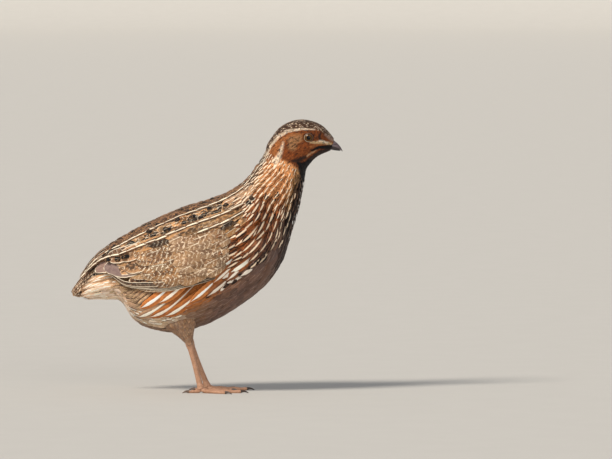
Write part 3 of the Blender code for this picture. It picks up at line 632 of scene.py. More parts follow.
# streak, bars, dark and fringe are strengths or shares of the half width, and bar_gap is in millimetres
Look = namedtuple("Look", ("streak", "bars", "dark", "bar_gap", "bar_width", "fringe", "dark_reach",
                           "streak_colour", "bar_colour", "dark_colour", "web", "streak_start"),
                  defaults=(0.45,))
LOOKS = {
    "back": Look(0.05, 0.8, 1.0, 2.1, 0.60, 0.5, 0.66, "sandy", "sandy", "black", "saddle"),
    "band": Look(0.05, 0.8, 1.0, 2.6, 0.70, 0.2, 0.85, "cream", "cream", "black", "sandy"),
    "line": Look(0.40, 0.0, 1.0, 2.5, 0.6, 0.0, 0.90, "cream", "sandy", "black", "saddle", 0.85),
    "rump": Look(0.10, 0.5, 1.0, 2.8, 0.70, 0.5, 0.95, "cream", "stripe", "black", "saddle"),
    "mantle": Look(0.12, 0.35, 0.40, 2.6, 0.6, 0.2, 0.45, "cream", "stripe", "umber", None),
    "nape": Look(0.27, 0.0, 1.00, 2.0, 0.5, 0.0, 0.95, "cream", "orange", "soot", None, 0.6),
    "neck": Look(0.40, 0.0, 0.70, 2.0, 0.5, 0.0, 0.80, "stripe", "orange", "umber", None, 0.6),
    "fore_neck": Look(0.34, 0.0, 1.00, 2.0, 0.5, 0.0, 0.90, "stripe", "orange", "soot", None, 0.6),
    "throat": Look(0.26, 0.0, 0.90, 2.0, 0.5, 0.0, 0.85, "saddle", "orange", "black", None, 0.6),
    "breast": Look(0.27, 0.0, 1.0, 2.0, 0.5, 0.0, 0.90, "stripe", "orange", "soot", None, 0.75),
    "low_breast": Look(0.54, 0.0, 0.7, 2.0, 0.5, 0.0, 0.78, "white", "orange", "dark", None, 0.75),
    "front": Look(0.07, 0.0, 0.35, 2.0, 0.5, 0.0, 0.50, "ash", "ash", "umber", None),
    "flank": Look(0.30, 0.0, 0.5, 2.0, 0.5, 0.0, 0.66, "white", "orange", "umber", None, 0.60),
    "spot": Look(0.05, 0.0, 1.0, 2.0, 0.5, 0.0, 0.80, "mist", "mist", "black", "umber"),
    "back_spot": Look(0.05, 0.55, 1.0, 3.0, 0.65, 0.3, 0.95, "cream", "sandy", "black", "soot"),
    "blot": Look(0.05, 0.45, 1.0, 3.2, 0.75, 0.7, 0.95, "cream", "cream", "black", "sandy"),
    "belly": Look(0.08, 0.0, 0.30, 2.0, 0.5, 0.1, 0.5, "ash", "buff", "umber", None),
    "vent": Look(0.24, 0.0, 0.75, 3.0, 0.5, 0.0, 0.80, "buff", "stripe", "umber", None, 0.7),
    "tail_edge": Look(0.30, 0.0, 0.9, 2.0, 0.6, 0.0, 0.95, "stripe", "cream", "umber", "sandy", 0.8),
    "low_flank": Look(0.34, 0.0, 1.0, 3.0, 0.5, 0.0, 0.95, "white", "stripe", "umber", None, 0.75),
    "under": Look(0.30, 0.0, 0.50, 2.0, 0.6, 0.0, 0.80, "white", "cream", "tan", None, 0.8),
    # the thighs' web is their buff made darker: painted shade
    "thigh": Look(0.05, 0.0, 0.20, 2.0, 0.6, 0.0, 0.60, "buff", "buff", "saddle", "thigh"),
    "covert": Look(0.06, 1.0, 0.90, 2.8, 0.55, 0.0, 0.70, "cream", "cream", "umber", "covert"),
    "plain_covert": Look(0.05, 0.9, 0.65, 2.5, 0.42, 0.0, 0.60, "cream", "stripe", "umber", "grey_covert"),
    "scapular": Look(0.06, 0.3, 0.85, 3.2, 0.60, 0.0, 0.60, "cream", "cream", "soot", "sandy"),
    "tertial": Look(0.06, 0.55, 1.0, 3.4, 0.70, 0.9, 0.60, "cream", "cream", "soot", "tertial"),
    "secondary": Look(0.04, 0.8, 0.5, 2.6, 0.60, 0.7, 0.5, "buff", "stripe", "umber", "covert"),
    "primary": Look(0.03, 0.0, 0.0, 2.6, 0.5, 1.0, 0.6, "umber", "cream", "umber", "grey"),
    "edge": Look(0.03, 0.2, 0.9, 2.6, 0.6, 0.7, 0.70, "buff", "cream", "black", "umber"),
    "tail": Look(0.05, 1.0, 0.9, 2.0, 0.02, 0.3, 0.5, "cream", "stripe", "soot", "saddle"),
    "head": Look(0.0, 0.0, 0.40, 1.0, 0.5, 0.0, 0.6, "buff", "buff", "dark", None),
    "crown": Look(0.0, 0.0, 0.9, 1.0, 0.5, 0.0, 0.75, "buff", "tan", "soot", None),
}
ROW_CROWDING = 1.25             # above 1, the rows of a vane's grid stand closer at its tip
LIFTED_BY = 0.75                # the share of its length by which a vane has all its lift
ROLL_SPREAD = 2.5               # degrees by which vanes roll to one side or the other
VANE_CAMBER = 0.20              # the shaft's height over the rims as a share of the half width
CAMBER_WIDTH = 1.8              # wider vanes are arched no more than this half width is
BARB_NOTCH = 0.14               # how deep the edge is notched where barbs part
RAGGED = (0.035, 0.3)           # how far barb tips slip, as a share of the length and at most
FINE_SHAFT = 0.07               # shaft lines up to this share of the half width show on some vanes only
FINE_SHAFTS_SHOWN = 0.4
PAINTED_AT = 0.45               # the share of its length where a vane takes its colour from the body
NONE_ODD = (0.0, "dark")
ODD_STRENGTH = 0.85             # how far an odd vane's web turns to its other colour
WARMTH = (0.3, -0.2, -0.9)      # how a warmer vane differs in red, green and blue
WARMTH_SPREAD = 0.09
BRIGHTNESS_SPREAD = 0.12
OFBAKE_PATCH = 0.003            # a vane's size in the skin's unwrap
UNWRAP_MARGIN = 0.02
UNWRAP_START = 0.1              # below it lie the thighs


class Tract:
    """Vanes of one look: each has a root and a tip place, a half width and lifts at both ends.

    odd is the share of vanes whose web has another colour, and that colour.
    """

    def __init__(self, look, profile, rows=12, columns=4, on=surface, fine=False, seed=1, tones=(0.80, 1.15),
                 odd=NONE_ODD):
        self.look = LOOKS[look]
        self.profile = profile
        self.rows = rows
        self.columns = columns
        self.on = on
        self.fine = fine
        self.tones = tones
        self.odd = odd
        self.random = np.random.default_rng(seed)
        self.vanes = []

    def lay(self, root, tip, half_width, lift_root, lift_tip, turn=0.0):
        """Add vanes.  Roots and tips are (places, angles), and the rest are numbers or arrays."""
        columns = np.broadcast_arrays(*root, *tip, half_width, lift_root, lift_tip, turn)
        self.vanes.append(np.stack([np.asarray(column, float).ravel() for column in columns], axis=-1))

    def grids(self):
        """Points, UV maps and colour attributes of every vane, by name."""
        vanes = np.concatenate(self.vanes)
        root_place, root_angle, tip_place, tip_angle, *rest = vanes.T[..., None]
        half_width, lift_root, lift_tip, turn = rest
        share = 1 - (1 - np.linspace(0, 1, self.rows + 1)) ** ROW_CROWDING
        place = blend(root_place, tip_place, share)
        angle = blend(root_angle, tip_angle, share)
        lift = blend(lift_root, lift_tip, smooth(0.0, LIFTED_BY, share))
        centre, ahead, across, normal = self.shafts(place, angle, lift, turn)
        side = np.linspace(-1, 1, self.columns + 1)
        width = self.notched(half_width * np.interp(share, PROFILE_AT, PROFILES[self.profile]), share)
        out = width * side
        arch = np.minimum(width, CAMBER_WIDTH) * VANE_CAMBER * (1 - side ** 2)
        length = np.linalg.norm(centre[:, -1] - centre[:, 0], axis=-1)
        slip = np.minimum(RAGGED[0] * length, RAGGED[1])[:, None, None] * side ** 2
        slip = slip * self.random.uniform(-1, 1, out.shape)
        points = centre[:, :, None]
        for direction, size in ((across, out), (normal, arch), (ahead, slip)):
            points = points + direction[:, :, None] * size[..., None]
        local = np.stack(np.broadcast_arrays((side + 1) / 2, share[:, None]), axis=-1)
        local = np.broadcast_to(local, (len(vanes), *local.shape))
        patch = np.stack(unwrap(root_place, root_angle), axis=-1)[:, None]
        maps = {"OFBake": patch + (local - 0.5) * OFBAKE_PATCH, "Vane": local}
        return {"points": points, **maps, **self.values(vanes, place, angle, out, length)}

    def shafts(self, place, angle, lift, turn):
        """Points along every shaft, and the directions ahead, across and out of the vane there."""
        centre, normal = self.on(place, angle)
        centre = centre + normal * lift[..., None]
        ahead = unit(np.gradient(centre, axis=1))
        across = unit(np.cross(ahead, normal))
        normal = np.cross(across, ahead)
        roll = np.radians(turn[..., None] + self.random.normal(0, ROLL_SPREAD, (len(turn), 1, 1)))
        lean, rest = np.sin(roll), np.cos(roll)
        return centre, ahead, across * rest + normal * lean, normal * rest - across * lean

    def notched(self, width, share):
        """Half widths with a notch at every other row, where barbs part."""
        notch = (np.arange(self.rows + 1) % 2) * smooth(0.1, 0.5, share)
        notch = notch[:, None] + self.random.uniform(-0.5, 0.5, (*width.shape, 1))
        width = width[..., None]
        return width - np.minimum(BARB_NOTCH, 0.1 * width) * notch

    def webs(self, vanes, place, angle, out):
        """The colour of every web: the look's own, or the body's colour there."""
        if self.look.web:
            return np.broadcast_to(COLOURS[self.look.web], (len(vanes), 1, 1, 3))
        if self.fine:
            turn = np.degrees(out / np.maximum(slices(place)[..., 4], 1.0)[..., None])
            return markings(np.broadcast_to(place[..., None], out.shape), angle[..., None] + turn)
        root_place, root_angle, tip_place, tip_angle = vanes[:, :4].T
        middle = markings(blend(root_place, tip_place, PAINTED_AT), blend(root_angle, tip_angle, PAINTED_AT))
        return middle[:, None, None]

    def values(self, vanes, place, angle, out, length):
        """The colour attributes of every point."""
        look, count = self.look, len(vanes)
        uniform = self.random.uniform
        web = self.webs(vanes, place, angle, out)
        changed = uniform(0, 1, (count, 1, 1, 1)) < self.odd[0]
        web = np.where(changed, blend(web, COLOURS[self.odd[1]], ODD_STRENGTH), web)
        warmth = self.random.normal(0, WARMTH_SPREAD, (count, 1, 1, 1)) * WARMTH
        brightness = self.random.normal(0, BRIGHTNESS_SPREAD, (count, 1, 1, 1))
        web = np.clip(web * (1 + warmth + brightness), 0.0, 1.0)
        tone = uniform(*self.tones, (count, 1))
        seed = uniform(0, 1, count)
        shown = uniform(0, 1, count) < (1.0 if look.streak > FINE_SHAFT else FINE_SHAFTS_SHOWN)
        marks = (look.streak * shown * uniform(0.75, 1.2, count), look.bars * uniform(0.6, 1.0, count),
                 look.dark * uniform(0.6, 1.0, count), look.bar_gap * uniform(0.85, 1.15, count))
        more = (seed, np.full(count, look.fringe), np.full(count, look.dark_reach), length)
        return {
            "Web": joined(out.shape, web, tone),
            "Bar": joined(out.shape, COLOURS[look.bar_colour], (look.bar_width,)),
            "Marks": joined(out.shape, np.stack(marks, axis=-1)),
            "More": joined(out.shape, np.stack(more, axis=-1)),
            "Dark": joined(out.shape, COLOURS[look.dark_colour], 2 * vanes[:, 4:5]),
            "Streak": joined(out.shape, COLOURS[look.streak_colour], (look.streak_start,)),
        }


def joined(shape, *parts):
    """Values side by side at every point, from parts for all vanes, for each vane or for each point."""
    parts = [part[:, None, None] if np.ndim(part) == 2 else part for part in parts]
    return np.concatenate([np.broadcast_to(part, (*shape, np.shape(part)[-1])) for part in parts], axis=-1)


def unwrap(place, degrees):
    """The skin's own unwrap: once round the body by tail to bill."""
    u = (degrees % 360) / 360 * (1 - 2 * UNWRAP_MARGIN) + UNWRAP_MARGIN
    return u, UNWRAP_START + (1 - UNWRAP_START - UNWRAP_MARGIN) * place / LAST_STATION


def vane_faces(rows, columns):
    """The closed faces of one vane: its arched top, its flat back and its two ends."""
    wide = columns + 1
    top = grid_faces(rows, columns)
    row = np.arange(rows)
    back = np.stack((row * wide, (row + 1) * wide, (row + 1) * wide + columns, row * wide + columns), axis=-1)
    column = np.arange(1, columns)
    root = np.stack((np.zeros_like(column), column + 1, column), axis=-1)
    tip = np.stack((np.zeros_like(column), column, column + 1), axis=-1) + rows * wide
    return [np.concatenate((top, back)), np.concatenate((root, tip))]


def coat_piece(name, tracts, material, slot):
    """One joined mesh of the vanes of several tracts."""
    values, quads, triangles = {}, [], []
    total = 0
    for tract in tracts:
        grids = tract.grids()
        count, rows, columns = grids["points"].shape[:3]
        starts = total + np.arange(count)[:, None, None] * rows * columns
        for group, faces in zip((quads, triangles), vane_faces(tract.rows, tract.columns)):
            group.append((faces + starts).reshape(-1, faces.shape[1]))
        for key, grid in grids.items():
            values.setdefault(key, []).append(grid.reshape(-1, grid.shape[-1]))
        total += count * rows * columns
    values = {key: np.concatenate(parts) for key, parts in values.items()}
    faces = [np.concatenate(quads), np.concatenate(triangles)]
    mesh = mesh_object(name, values.pop("points"), faces, material, slot).data
    for key in ("OFBake", "Vane"):
        add_uv(mesh, key, values.pop(key))
    for key, colours in values.items():
        add_colour(mesh, key, colours)


def stride(place, degrees):
    """Millimetres to a station and to a degree at places on the body form."""
    along = np.linalg.norm(form(place + 0.05, degrees) - form(place - 0.05, degrees), axis=-1) / 0.1
    around = np.linalg.norm(form(place, degrees + 1) - form(place, degrees - 1), axis=-1) / 2
    return np.maximum(along, 0.5), np.maximum(around, 0.02)


def tips(place, degrees, length, turn):
    """The tips of feathers that leave their roots at a turn down from straight back."""
    side = np.where(degrees < 0, -1, 1)
    middle, middle_angle = place, degrees
    for _ in range(2):
        along, around = stride(middle, middle_angle)
        tip = place - length * np.cos(np.radians(turn)) / along
        tip_angle = degrees + length * np.sin(np.radians(turn)) / around * side
        middle, middle_angle = blend(place, tip, 0.5), blend(degrees, tip_angle, 0.5)
    return tip, tip_angle


def column_places(angle_of, start, end, step_of, offset):
    """Places down a column of feathers, from start back to end, a step apart that changes with the place."""
    fine = np.linspace(start, end, 300)
    gaps = np.linalg.norm(np.diff(form(fine, angle_of(fine)), axis=0), axis=1)
    run = np.concatenate(((0,), np.cumsum(gaps / step_of(fine[:-1]))))
    return np.interp(np.arange(offset, run[-1], 1.0), run, fine)


# how far feathers stray from their column
STRAY_PLACE = 0.02              # in stations
STRAY_ANGLE = 0.6               # in degrees
STRAY_TURN = 3.0                # in degrees
STRAY_LENGTH = 0.1              # as a share of the length
STRAY_WIDTH = 0.08              # as a share of the width
STRAY_LIFT = 0.15


def lay_columns(tract, columns, start, end, step_of, length_share, width_of, lifts, turn_of=None, keep=None,
                sides=tuple(SIDES.values()), loose=1.0, share_of=None):
    """Columns of feathers on both sides, every other column half a step further back.

    Feathers follow their column, and loose is how far they stray from it.  share_of(place, angle)
    shortens feathers to a share of their length.
    """
    normal, uniform = tract.random.normal, tract.random.uniform
    for number, angle_of in enumerate(columns):
        place = column_places(angle_of, start, end, step_of, 0.5 * (number % 2))
        for side in sides:
            own = place + normal(0, STRAY_PLACE * loose, len(place))
            column_angle = angle_of(own)
            angle = column_angle * side + normal(0, STRAY_ANGLE * loose, len(place))
            if keep is not None:
                wanted = keep(own, np.abs(angle))
                own, angle, column_angle = own[wanted], angle[wanted], column_angle[wanted]
            count = len(own)
            if not count:
                continue
            stray = STRAY_LENGTH * loose
            length = step_of(own) * length_share * uniform(1 - stray, 1 + stray, count)
            if share_of is not None:
                length = length * share_of(own, np.abs(angle))
            turn = (turn_of(own, np.abs(angle)) if turn_of else 0.0) + normal(0, STRAY_TURN * loose, count)
            width = width_of(own) * uniform(1 - STRAY_WIDTH, 1 + STRAY_WIDTH, count)
            lift_tip = lifts[1] + uniform(-STRAY_LIFT, STRAY_LIFT, count) * loose
            tip, tip_angle = tips(own, angle, length, turn)
            tip_angle = tip_angle + (angle_of(tip) - column_angle) * side
            tract.lay((own, angle), (tip, tip_angle), width, lifts[0], lift_tip)


def straight_columns(first, last, gap):
    """Columns at fixed angles, a gap apart."""
    return [constant(angle) for angle in np.arange(first, last, gap)]


def between(low, high, share):
    """A column a share of the way from one line to another."""
    return lambda place: blend(low(place), high(place), share)


# ---------------- lines and regions of the body
MIDDLE = constant(0.0)
FIRST_LINE = table((1.8, 34.0), (4.0, 31.0), (7.0, 28.0), (10.6, 24.0), (12.6, 22.0))
SECOND_LINE = table((1.8, 54.0), (5.0, 53.0), (7.5, 52.5), (9.5, 52.5), (10.4, 52.0))
THIRD_LINE = table((7.4, 63.0), (9.0, 61.5), (10.2, 62.0))
SPOT_LINE = table((6.4, 128.0), (7.4, 121.0), (8.4, 117.0), (9.4, 119.0), (10.6, 121.0))
WING_EDGE = table((1.9, 84.0), (2.4, 91.0), (4.1, 91.0), (5.6, 98.0), (6.6, 103.0), (7.4, 105.0), (7.9, 94.0),
                  (8.1, 78.0), (8.5, 64.0))
SCAPULAR_RISE = table((1.8, 1.2), (3.2, 2.6), (4.6, 3.4), (7.6, 3.4), (8.6, 2.2), (9.4, 0.7), (10.0, 0.0))
WING_RISE = 2.6
NECK_SWEEP = table((10.7, 34.0), (11.7, 28.0), (12.7, 14.0), (13.9, 0.0))
FLANK_DROP = table((4.0, 66.0), (5.0, 44.0), (6.0, 26.0), (7.0, 14.0), (8.0, 5.5), (9.0, 0.0), (10.0, -4.0))
FRONT_ANGLE = 126.0             # beyond this the neck and breast are dull


def wing_swell(place, angle):
    """How far the folded wing lifts the feathers that lie over its front and lower edge."""
    angle = np.abs(angle)
    low_edge = WING_EDGE(place)
    inside = smooth(42, 54, angle) * fall(low_edge - 10, low_edge + 5, angle)
    return WING_RISE * inside * fall(8.0, 9.3, place) * smooth(4.0, 5.6, place)


def over_wing(place, degrees):
    """The body form with the folded wing's swell on it."""
    points, normal = surface(place, degrees)
    return points + normal * wing_swell(place, degrees)[..., None], normal


def over_scapulars(place, degrees):
    """The body form raised under the pale line that lies on the innermost scapulars."""
    points, normal = surface(place, degrees)
    raised = SCAPULAR_RISE(place) * smooth(40, 48, np.abs(degrees))
    return points + normal * raised[..., None], normal


def neck_column(start):
    """A column of neck feathers that sweeps back towards the shoulder on its way down."""
    return lambda place: start - NECK_SWEEP(place) * math.sin(math.radians(start))


def flank_column(start):
    """A column of flank plumes that sinks towards the belly on its way back."""
    return lambda place: start + FLANK_DROP(place)


# each test says where on the body, at what place and angle from the back, a tract has feathers
def all_of(*tests):
    """A test that is passed where all of several are."""
    return lambda place, angle: np.logical_and.reduce([test(place, angle) for test in tests])


def on_neck(place, angle):
    above_breast = place > 10.6 + 0.9 * smooth(70, 84, angle) * smooth(128, 118, angle)
    return above_breast & ((place > 11.2) | (angle > 40))


def on_neck_side(place, angle):
    return angle < FRONT_ANGLE + 16 * smooth(13.0, 12.3, place)


def on_neck_front(place, angle):
    return ~on_neck_side(place, angle)


def on_breast(place, angle):
    beyond_back = (place > 10.2) | (angle > 62)
    off_wing = (place > 8.9) | (angle > WING_EDGE(place) - 6)
    below_neck = (place < 10.9) | (angle > 72)
    return beyond_back & off_wing & below_neck & (place + (angle - 120) / 60 > 8.0)


def on_side(place, angle):
    return angle < FRONT_ANGLE


def on_front(place, angle):
    return angle >= FRONT_ANGLE


def below_shoulder(place, angle):
    return angle > 96


def on_flank(place, angle):
    edge = WING_EDGE(place - 0.8 * smooth(7.0, 7.6, place))
    tucked = 26 * smooth(7.4, 6.8, place)
    return (angle > edge - tucked) & (angle < 118 - 4.5 * np.abs(place - 8)) & (place > 5.9)


def on_low_flank(place, angle):
    return (angle > 123) & (place < 7.1 - 0.04 * (angle - 123))


def on_vent(place, angle):
    low_flank = smooth(112, 126, angle) * fall(148, 160, angle)
    return place < 5.5 - 0.01 * (angle - 84) + 1.4 * low_flank


def vent_turn(place, angle):
    """How far vent feathers turn down, on the sides and less below."""
    return 34.0 * fall(105, 150, angle)


# ---------------- the tracts of the body
def back_tract(look, seed, profile="rounded", **options):
    """A tract of the broad feathers of the back."""
    return Tract(look, profile, columns=6, seed=seed, **options)


def back_tracts():
    """Mantle, back and rump, with the pale lines along them."""
    step_of = table((1.0, 3.0), (4.0, 3.8), (8.0, 4.4), (11.0, 3.2))
    width_of = table((1.0, 1.9), (4.0, 2.5), (8.0, 3.0), (10.8, 2.0))
    mantle = back_tract("back", 11, tones=(0.7, 1.2))
    columns = [between(MIDDLE, FIRST_LINE, share) for share in (0.36, 0.72)]
    lay_columns(mantle, columns, 12.6, 2.3, step_of, 2.6, width_of, (-1.3, 0.45))
    lay_columns(mantle, [MIDDLE], 12.6, 2.3, step_of, 2.6, width_of, (-1.2, 0.55), sides=(1,))
    inner, outer = (between(FIRST_LINE, SECOND_LINE, share) for share in (0.30, 0.72))
    band = back_tract("band", 13, odd=(0.1, "black"), tones=(0.95, 1.35))
    lay_columns(band, [inner], 9.6, 1.9, step_of, 2.6, width_of, (-1.3, 0.35))
    blots = back_tract("blot", 16, odd=(0.55, "black"))
    lay_columns(blots, [outer], 9.6, 1.9, step_of, 2.2, width_of, (-1.3, 0.55))
    lay_columns(blots, [constant(58.0)], 11.0, 9.4, step_of, 2.4, width_of, (-1.3, 0.45))
    front = back_tract("mantle", 14)
    lay_columns(front, [inner, outer], 11.6, 9.4, step_of, 2.6, width_of, (-1.3, 0.35))
    return [mantle, band, blots, front, *line_tracts(), *back_spot_tracts()]


def line_tracts():
    """The pale lines along the back, each of long narrow feathers."""
    step_of = table((2.0, 4.4), (8.0, 6.4), (12.0, 4.6))
    width_of = table((2.0, 1.0), (8.0, 1.15), (12.0, 0.95))
    lines = back_tract("line", 12, "plume")
    lay_columns(lines, [FIRST_LINE], 12.9, 2.0, step_of, 2.7, width_of, (-1.0, 0.85), loose=0.2)
    low_lines = back_tract("line", 15, "plume", on=over_scapulars)
    lay_columns(low_lines, [SECOND_LINE], 10.3, 1.9, step_of, 2.7, width_of, (-0.6, 1.5), loose=0.2)
    lay_columns(low_lines, [THIRD_LINE], 10.0, 8.0, step_of, 2.6, width_of, (-0.5, 1.5), loose=0.2)
    return [lines, low_lines]


def back_spot_tracts():
    """Scattered black-blotched feathers between the lines."""
    spots = back_tract("back_spot", 17, tones=(0.7, 1.1))
    columns = [between(FIRST_LINE, SECOND_LINE, share) for share in (0.34, 0.62)]
    lay_columns(spots, columns, 9.2, 2.0, constant(9.0), 0.78, constant(1.7), (-0.7, 1.1), loose=3.0)
    columns = [between(MIDDLE, FIRST_LINE, 0.38)]
    lay_columns(spots, columns, 9.2, 2.0, constant(5.8), 1.0, constant(1.8), (-0.7, 0.7), loose=2.0)
    low_spots = back_tract("back_spot", 18, on=over_scapulars, tones=(0.7, 1.1))
    columns = [lambda place: SECOND_LINE(place) + 5.5]
    lay_columns(low_spots, columns, 4.6, 3.0, constant(5.4), 1.0, constant(1.4), (-0.3, 1.9), loose=1.6)
    return [spots, low_spots]


def neck_tracts():
    """The streaked feathers of the neck and the dark ones of the throat."""
    columns = [neck_column(start) for start in np.arange(9.0, 181.0, 9.0)]
    step_of = table((10.7, 4.4), (12.0, 3.4), (13.7, 2.3))
    width_of = table((10.7, 1.8), (12.0, 1.35), (13.7, 0.9))
    side = all_of(on_neck, on_neck_side)
    tracts = []
    for look, seed, tones, own, start, end, lift_tip, keep in (
            ("neck", 21, (0.85, 1.25), columns[5:11], 13.9, 10.7, 0.40, side),
            ("fore_neck", 20, (0.85, 1.2), columns[11:], 13.9, 10.7, 0.40, side),
            ("nape", 29, (0.75, 1.15), columns[:5], 13.9, 10.7, 0.40, on_neck),
            ("throat", 24, (0.5, 1.0), columns, 13.4, 10.5, 0.30, all_of(on_neck, on_neck_front))):
        tract = Tract(look, "lance", seed=seed, tones=tones)
        lay_columns(tract, own, start, end, step_of, 2.6, width_of, (-1.2, lift_tip), keep=keep)
        tracts.append(tract)
    return tracts


def breast_tracts():
    """The streaked feathers of the breast and shoulder, and the dull ones between them."""
    columns = straight_columns(40.0, 181.0, 10.0)
    step_of = table((7.4, 9.0), (9.5, 7.6), (11.0, 5.2), (11.7, 4.4))
    width_of = table((7.4, 2.8), (9.5, 2.6), (11.0, 2.1), (11.7, 1.8))
    side, front = all_of(on_breast, on_side), all_of(on_breast, on_front)
    low_side = all_of(side, below_shoulder)
    tracts = []
    for look, seed, tones, rows, start, end, step, length_share, lift_tip, keep in (
            ("breast", 23, (0.65, 1.2), 14, 11.7, 9.5, step_of, 2.3, 0.55, side),
            ("low_breast", 27, (0.75, 1.25), 14, 9.45, 7.4, step_of, 2.3, 0.55, low_side),
            ("front", 25, (0.75, 1.15), 12, 11.4, 7.4, constant(5.0), 2.6, 0.40, front)):
        tract = Tract(look, "lance", rows=rows, on=over_wing, seed=seed, tones=tones)
        lay_columns(tract, columns, start, end, step, length_share, width_of, (-1.2, lift_tip), keep=keep)
        tracts.append(tract)
    shoulder = Tract("breast", "lance", rows=14, on=over_wing, seed=26, tones=(0.65, 1.2))
    columns = straight_columns(74.0, 104.0, 7.0)
    lay_columns(shoulder, columns, 9.9, 8.65, constant(5.0), 2.7, constant(2.2), (-0.3, 1.35))
    columns = straight_columns(47.0, 76.0, 6.5)
    lay_columns(shoulder, columns, 10.8, 9.8, constant(4.2), 2.7, constant(1.9), (-0.6, 0.6))
    return [*tracts, shoulder]


def flank_tracts():
    """The long plumes of the flanks, and the dark spots over them."""
    step_of = table((5.0, 15.0), (7.5, 14.0), (9.2, 9.0))
    width_of = table((5.0, 2.7), (7.5, 2.9), (9.0, 2.6))
    flank = Tract("flank", "plume", rows=20, columns=6, on=over_wing, seed=22, tones=(0.85, 1.3))
    columns = [flank_column(start) for start in np.arange(68.0, 122.0, 10.0)]
    lay_columns(flank, columns, 9.0, 5.0, step_of, 1.9, width_of, (-1.1, 0.8), keep=on_flank, loose=0.5)
    spots = Tract("spot", "lance", on=over_wing, seed=28)
    lay_columns(spots, [SPOT_LINE], 10.4, 7.3, constant(5.0), 1.3, constant(1.1), (-0.4, 0.9), loose=2.0)
    return [flank, spots]


def under_tracts():
    """Belly, vent and the feathers under the tail."""
    belly = Tract("belly", "plume", rows=10, seed=31)
    width_of = table((3.4, 2.3), (10.0, 2.0))
    lay_columns(belly, straight_columns(124.0, 180.0, 6.0), 10.4, 3.4, constant(6.0), 2.3, width_of,
                (-1.3, 0.35))
    vent = Tract("vent", "plume", rows=10, seed=32, tones=(0.72, 1.08))
    width_of = table((3.0, 0.7), (5.4, 0.85))
    lay_columns(vent, straight_columns(84.0, 180.0, 3.6), 6.9, 2.6, constant(3.6), 3.0, width_of, (-1.2, 0.5),
                vent_turn, on_vent)
    low_flank = Tract("low_flank", "plume", seed=34, tones=(0.8, 1.25))
    lay_columns(low_flank, straight_columns(114.0, 152.0, 6.0), 7.6, 4.4, constant(5.4), 2.2, constant(1.35),
                (-1.2, 0.60), keep=on_low_flank)
    under = Tract("under", "plume", rows=14, seed=33, tones=(0.86, 1.22))
    step_of = table((1.3, 5.0), (2.6, 7.0), (4.6, 8.5))
    width_of = table((1.3, 1.0), (4.6, 1.5))
    lay_columns(under, straight_columns(84.0, 180.0, 7.0), 3.7, 2.2, step_of, 2.3, width_of, (-1.6, 0.7))
    return [belly, vent, low_flank, under]


# ---------------- wings and tail
Row = namedtuple("Row", ("look", "profile", "count", "root_first", "root_last", "tip_first", "tip_last",
                         "half_width", "lift_root", "lift_tip", "roll"))
WING_ROWS = (
    Row("edge", "flight", 6, (7.3, 96), (7.5, 106), (2.6, 84), (4.6, 92), 0.9, 1.8, 3.0, 4),
    Row("primary", "flight", 1, (5.4, 67), (5.4, 67), (2.05, 67), (2.05, 67), 4.5, 0.8, 1.7, 6),
    Row("primary", "flight", 1, (5.6, 73), (5.6, 73), (2.65, 72), (2.65, 72), 4.6, 1.0, 2.3, 6),
    Row("secondary", "flight", 7, (6.7, 60), (6.9, 97), (3.1, 56), (4.6, 90), 2.6, 1.1, 2.6, 12),
    Row("tertial", "rounded", 2, (5.8, 55), (5.9, 68), (3.1, 56), (3.3, 72), 5.0, 1.4, 3.0, 5),
    Row("tertial", "rounded", 3, (6.3, 55), (6.4, 80), (3.9, 55), (4.2, 82), 4.8, 1.5, 3.4, 5),
    Row("covert", "rounded", 5, (7.0, 56), (6.9, 90), (4.55, 56), (4.9, 84), 4.0, 1.5, 3.8, 1),
    Row("covert", "rounded", 6, (7.4, 56), (7.2, 92), (5.1, 56), (5.4, 88), 3.8, 1.5, 4.0, 0),
    Row("covert", "rounded", 6, (7.8, 57), (7.4, 94), (5.65, 57), (5.9, 91), 3.7, 1.5, 4.1, 0),
    Row("plain_covert", "rounded", 6, (8.1, 57), (7.6, 95), (6.15, 58), (6.35, 94), 3.6, 1.5, 4.2, 0),
    Row("plain_covert", "rounded", 6, (8.4, 57), (7.8, 96), (6.6, 58), (6.8, 96), 3.4, 1.5, 4.2, 0),
    Row("plain_covert", "rounded", 6, (8.6, 57), (8.0, 96), (7.05, 58), (7.2, 97), 3.2, 1.5, 4.1, 0),
    Row("plain_covert", "rounded", 6, (8.8, 58), (8.1, 94), (7.45, 59), (7.55, 96), 3.0, 1.2, 3.8, 0),
    Row("plain_covert", "rounded", 6, (8.9, 59), (8.3, 90), (7.8, 60), (7.85, 92), 2.8, 0.8, 3.4, 0),
    Row("scapular", "rounded", 2, (7.2, 54), (7.2, 60), (4.7, 56), (4.8, 61), 3.2, 1.5, 4.2, 2),
    Row("scapular", "rounded", 2, (7.7, 54), (7.7, 61), (5.35, 56), (5.5, 62), 3.2, 1.5, 4.4, 2),
    Row("scapular", "rounded", 2, (8.2, 54), (8.2, 62), (6.0, 56), (6.2, 63), 3.1, 1.5, 4.5, 2),
    Row("scapular", "rounded", 3, (8.7, 54), (8.7, 65), (6.6, 56), (6.9, 68), 2.9, 1.4, 4.5, 2),
    Row("scapular", "rounded", 3, (9.2, 54), (9.1, 68), (7.2, 56), (7.5, 71), 2.8, 0.8, 4.1, 2),
    Row("scapular", "rounded", 3, (9.6, 54), (9.5, 70), (7.8, 56), (8.0, 73), 2.6, 0.0, 3.4, 2),
    Row("scapular", "rounded", 3, (10.0, 54), (9.9, 70), (8.4, 56), (8.6, 73), 2.3, -0.8, 2.2, 2),
)
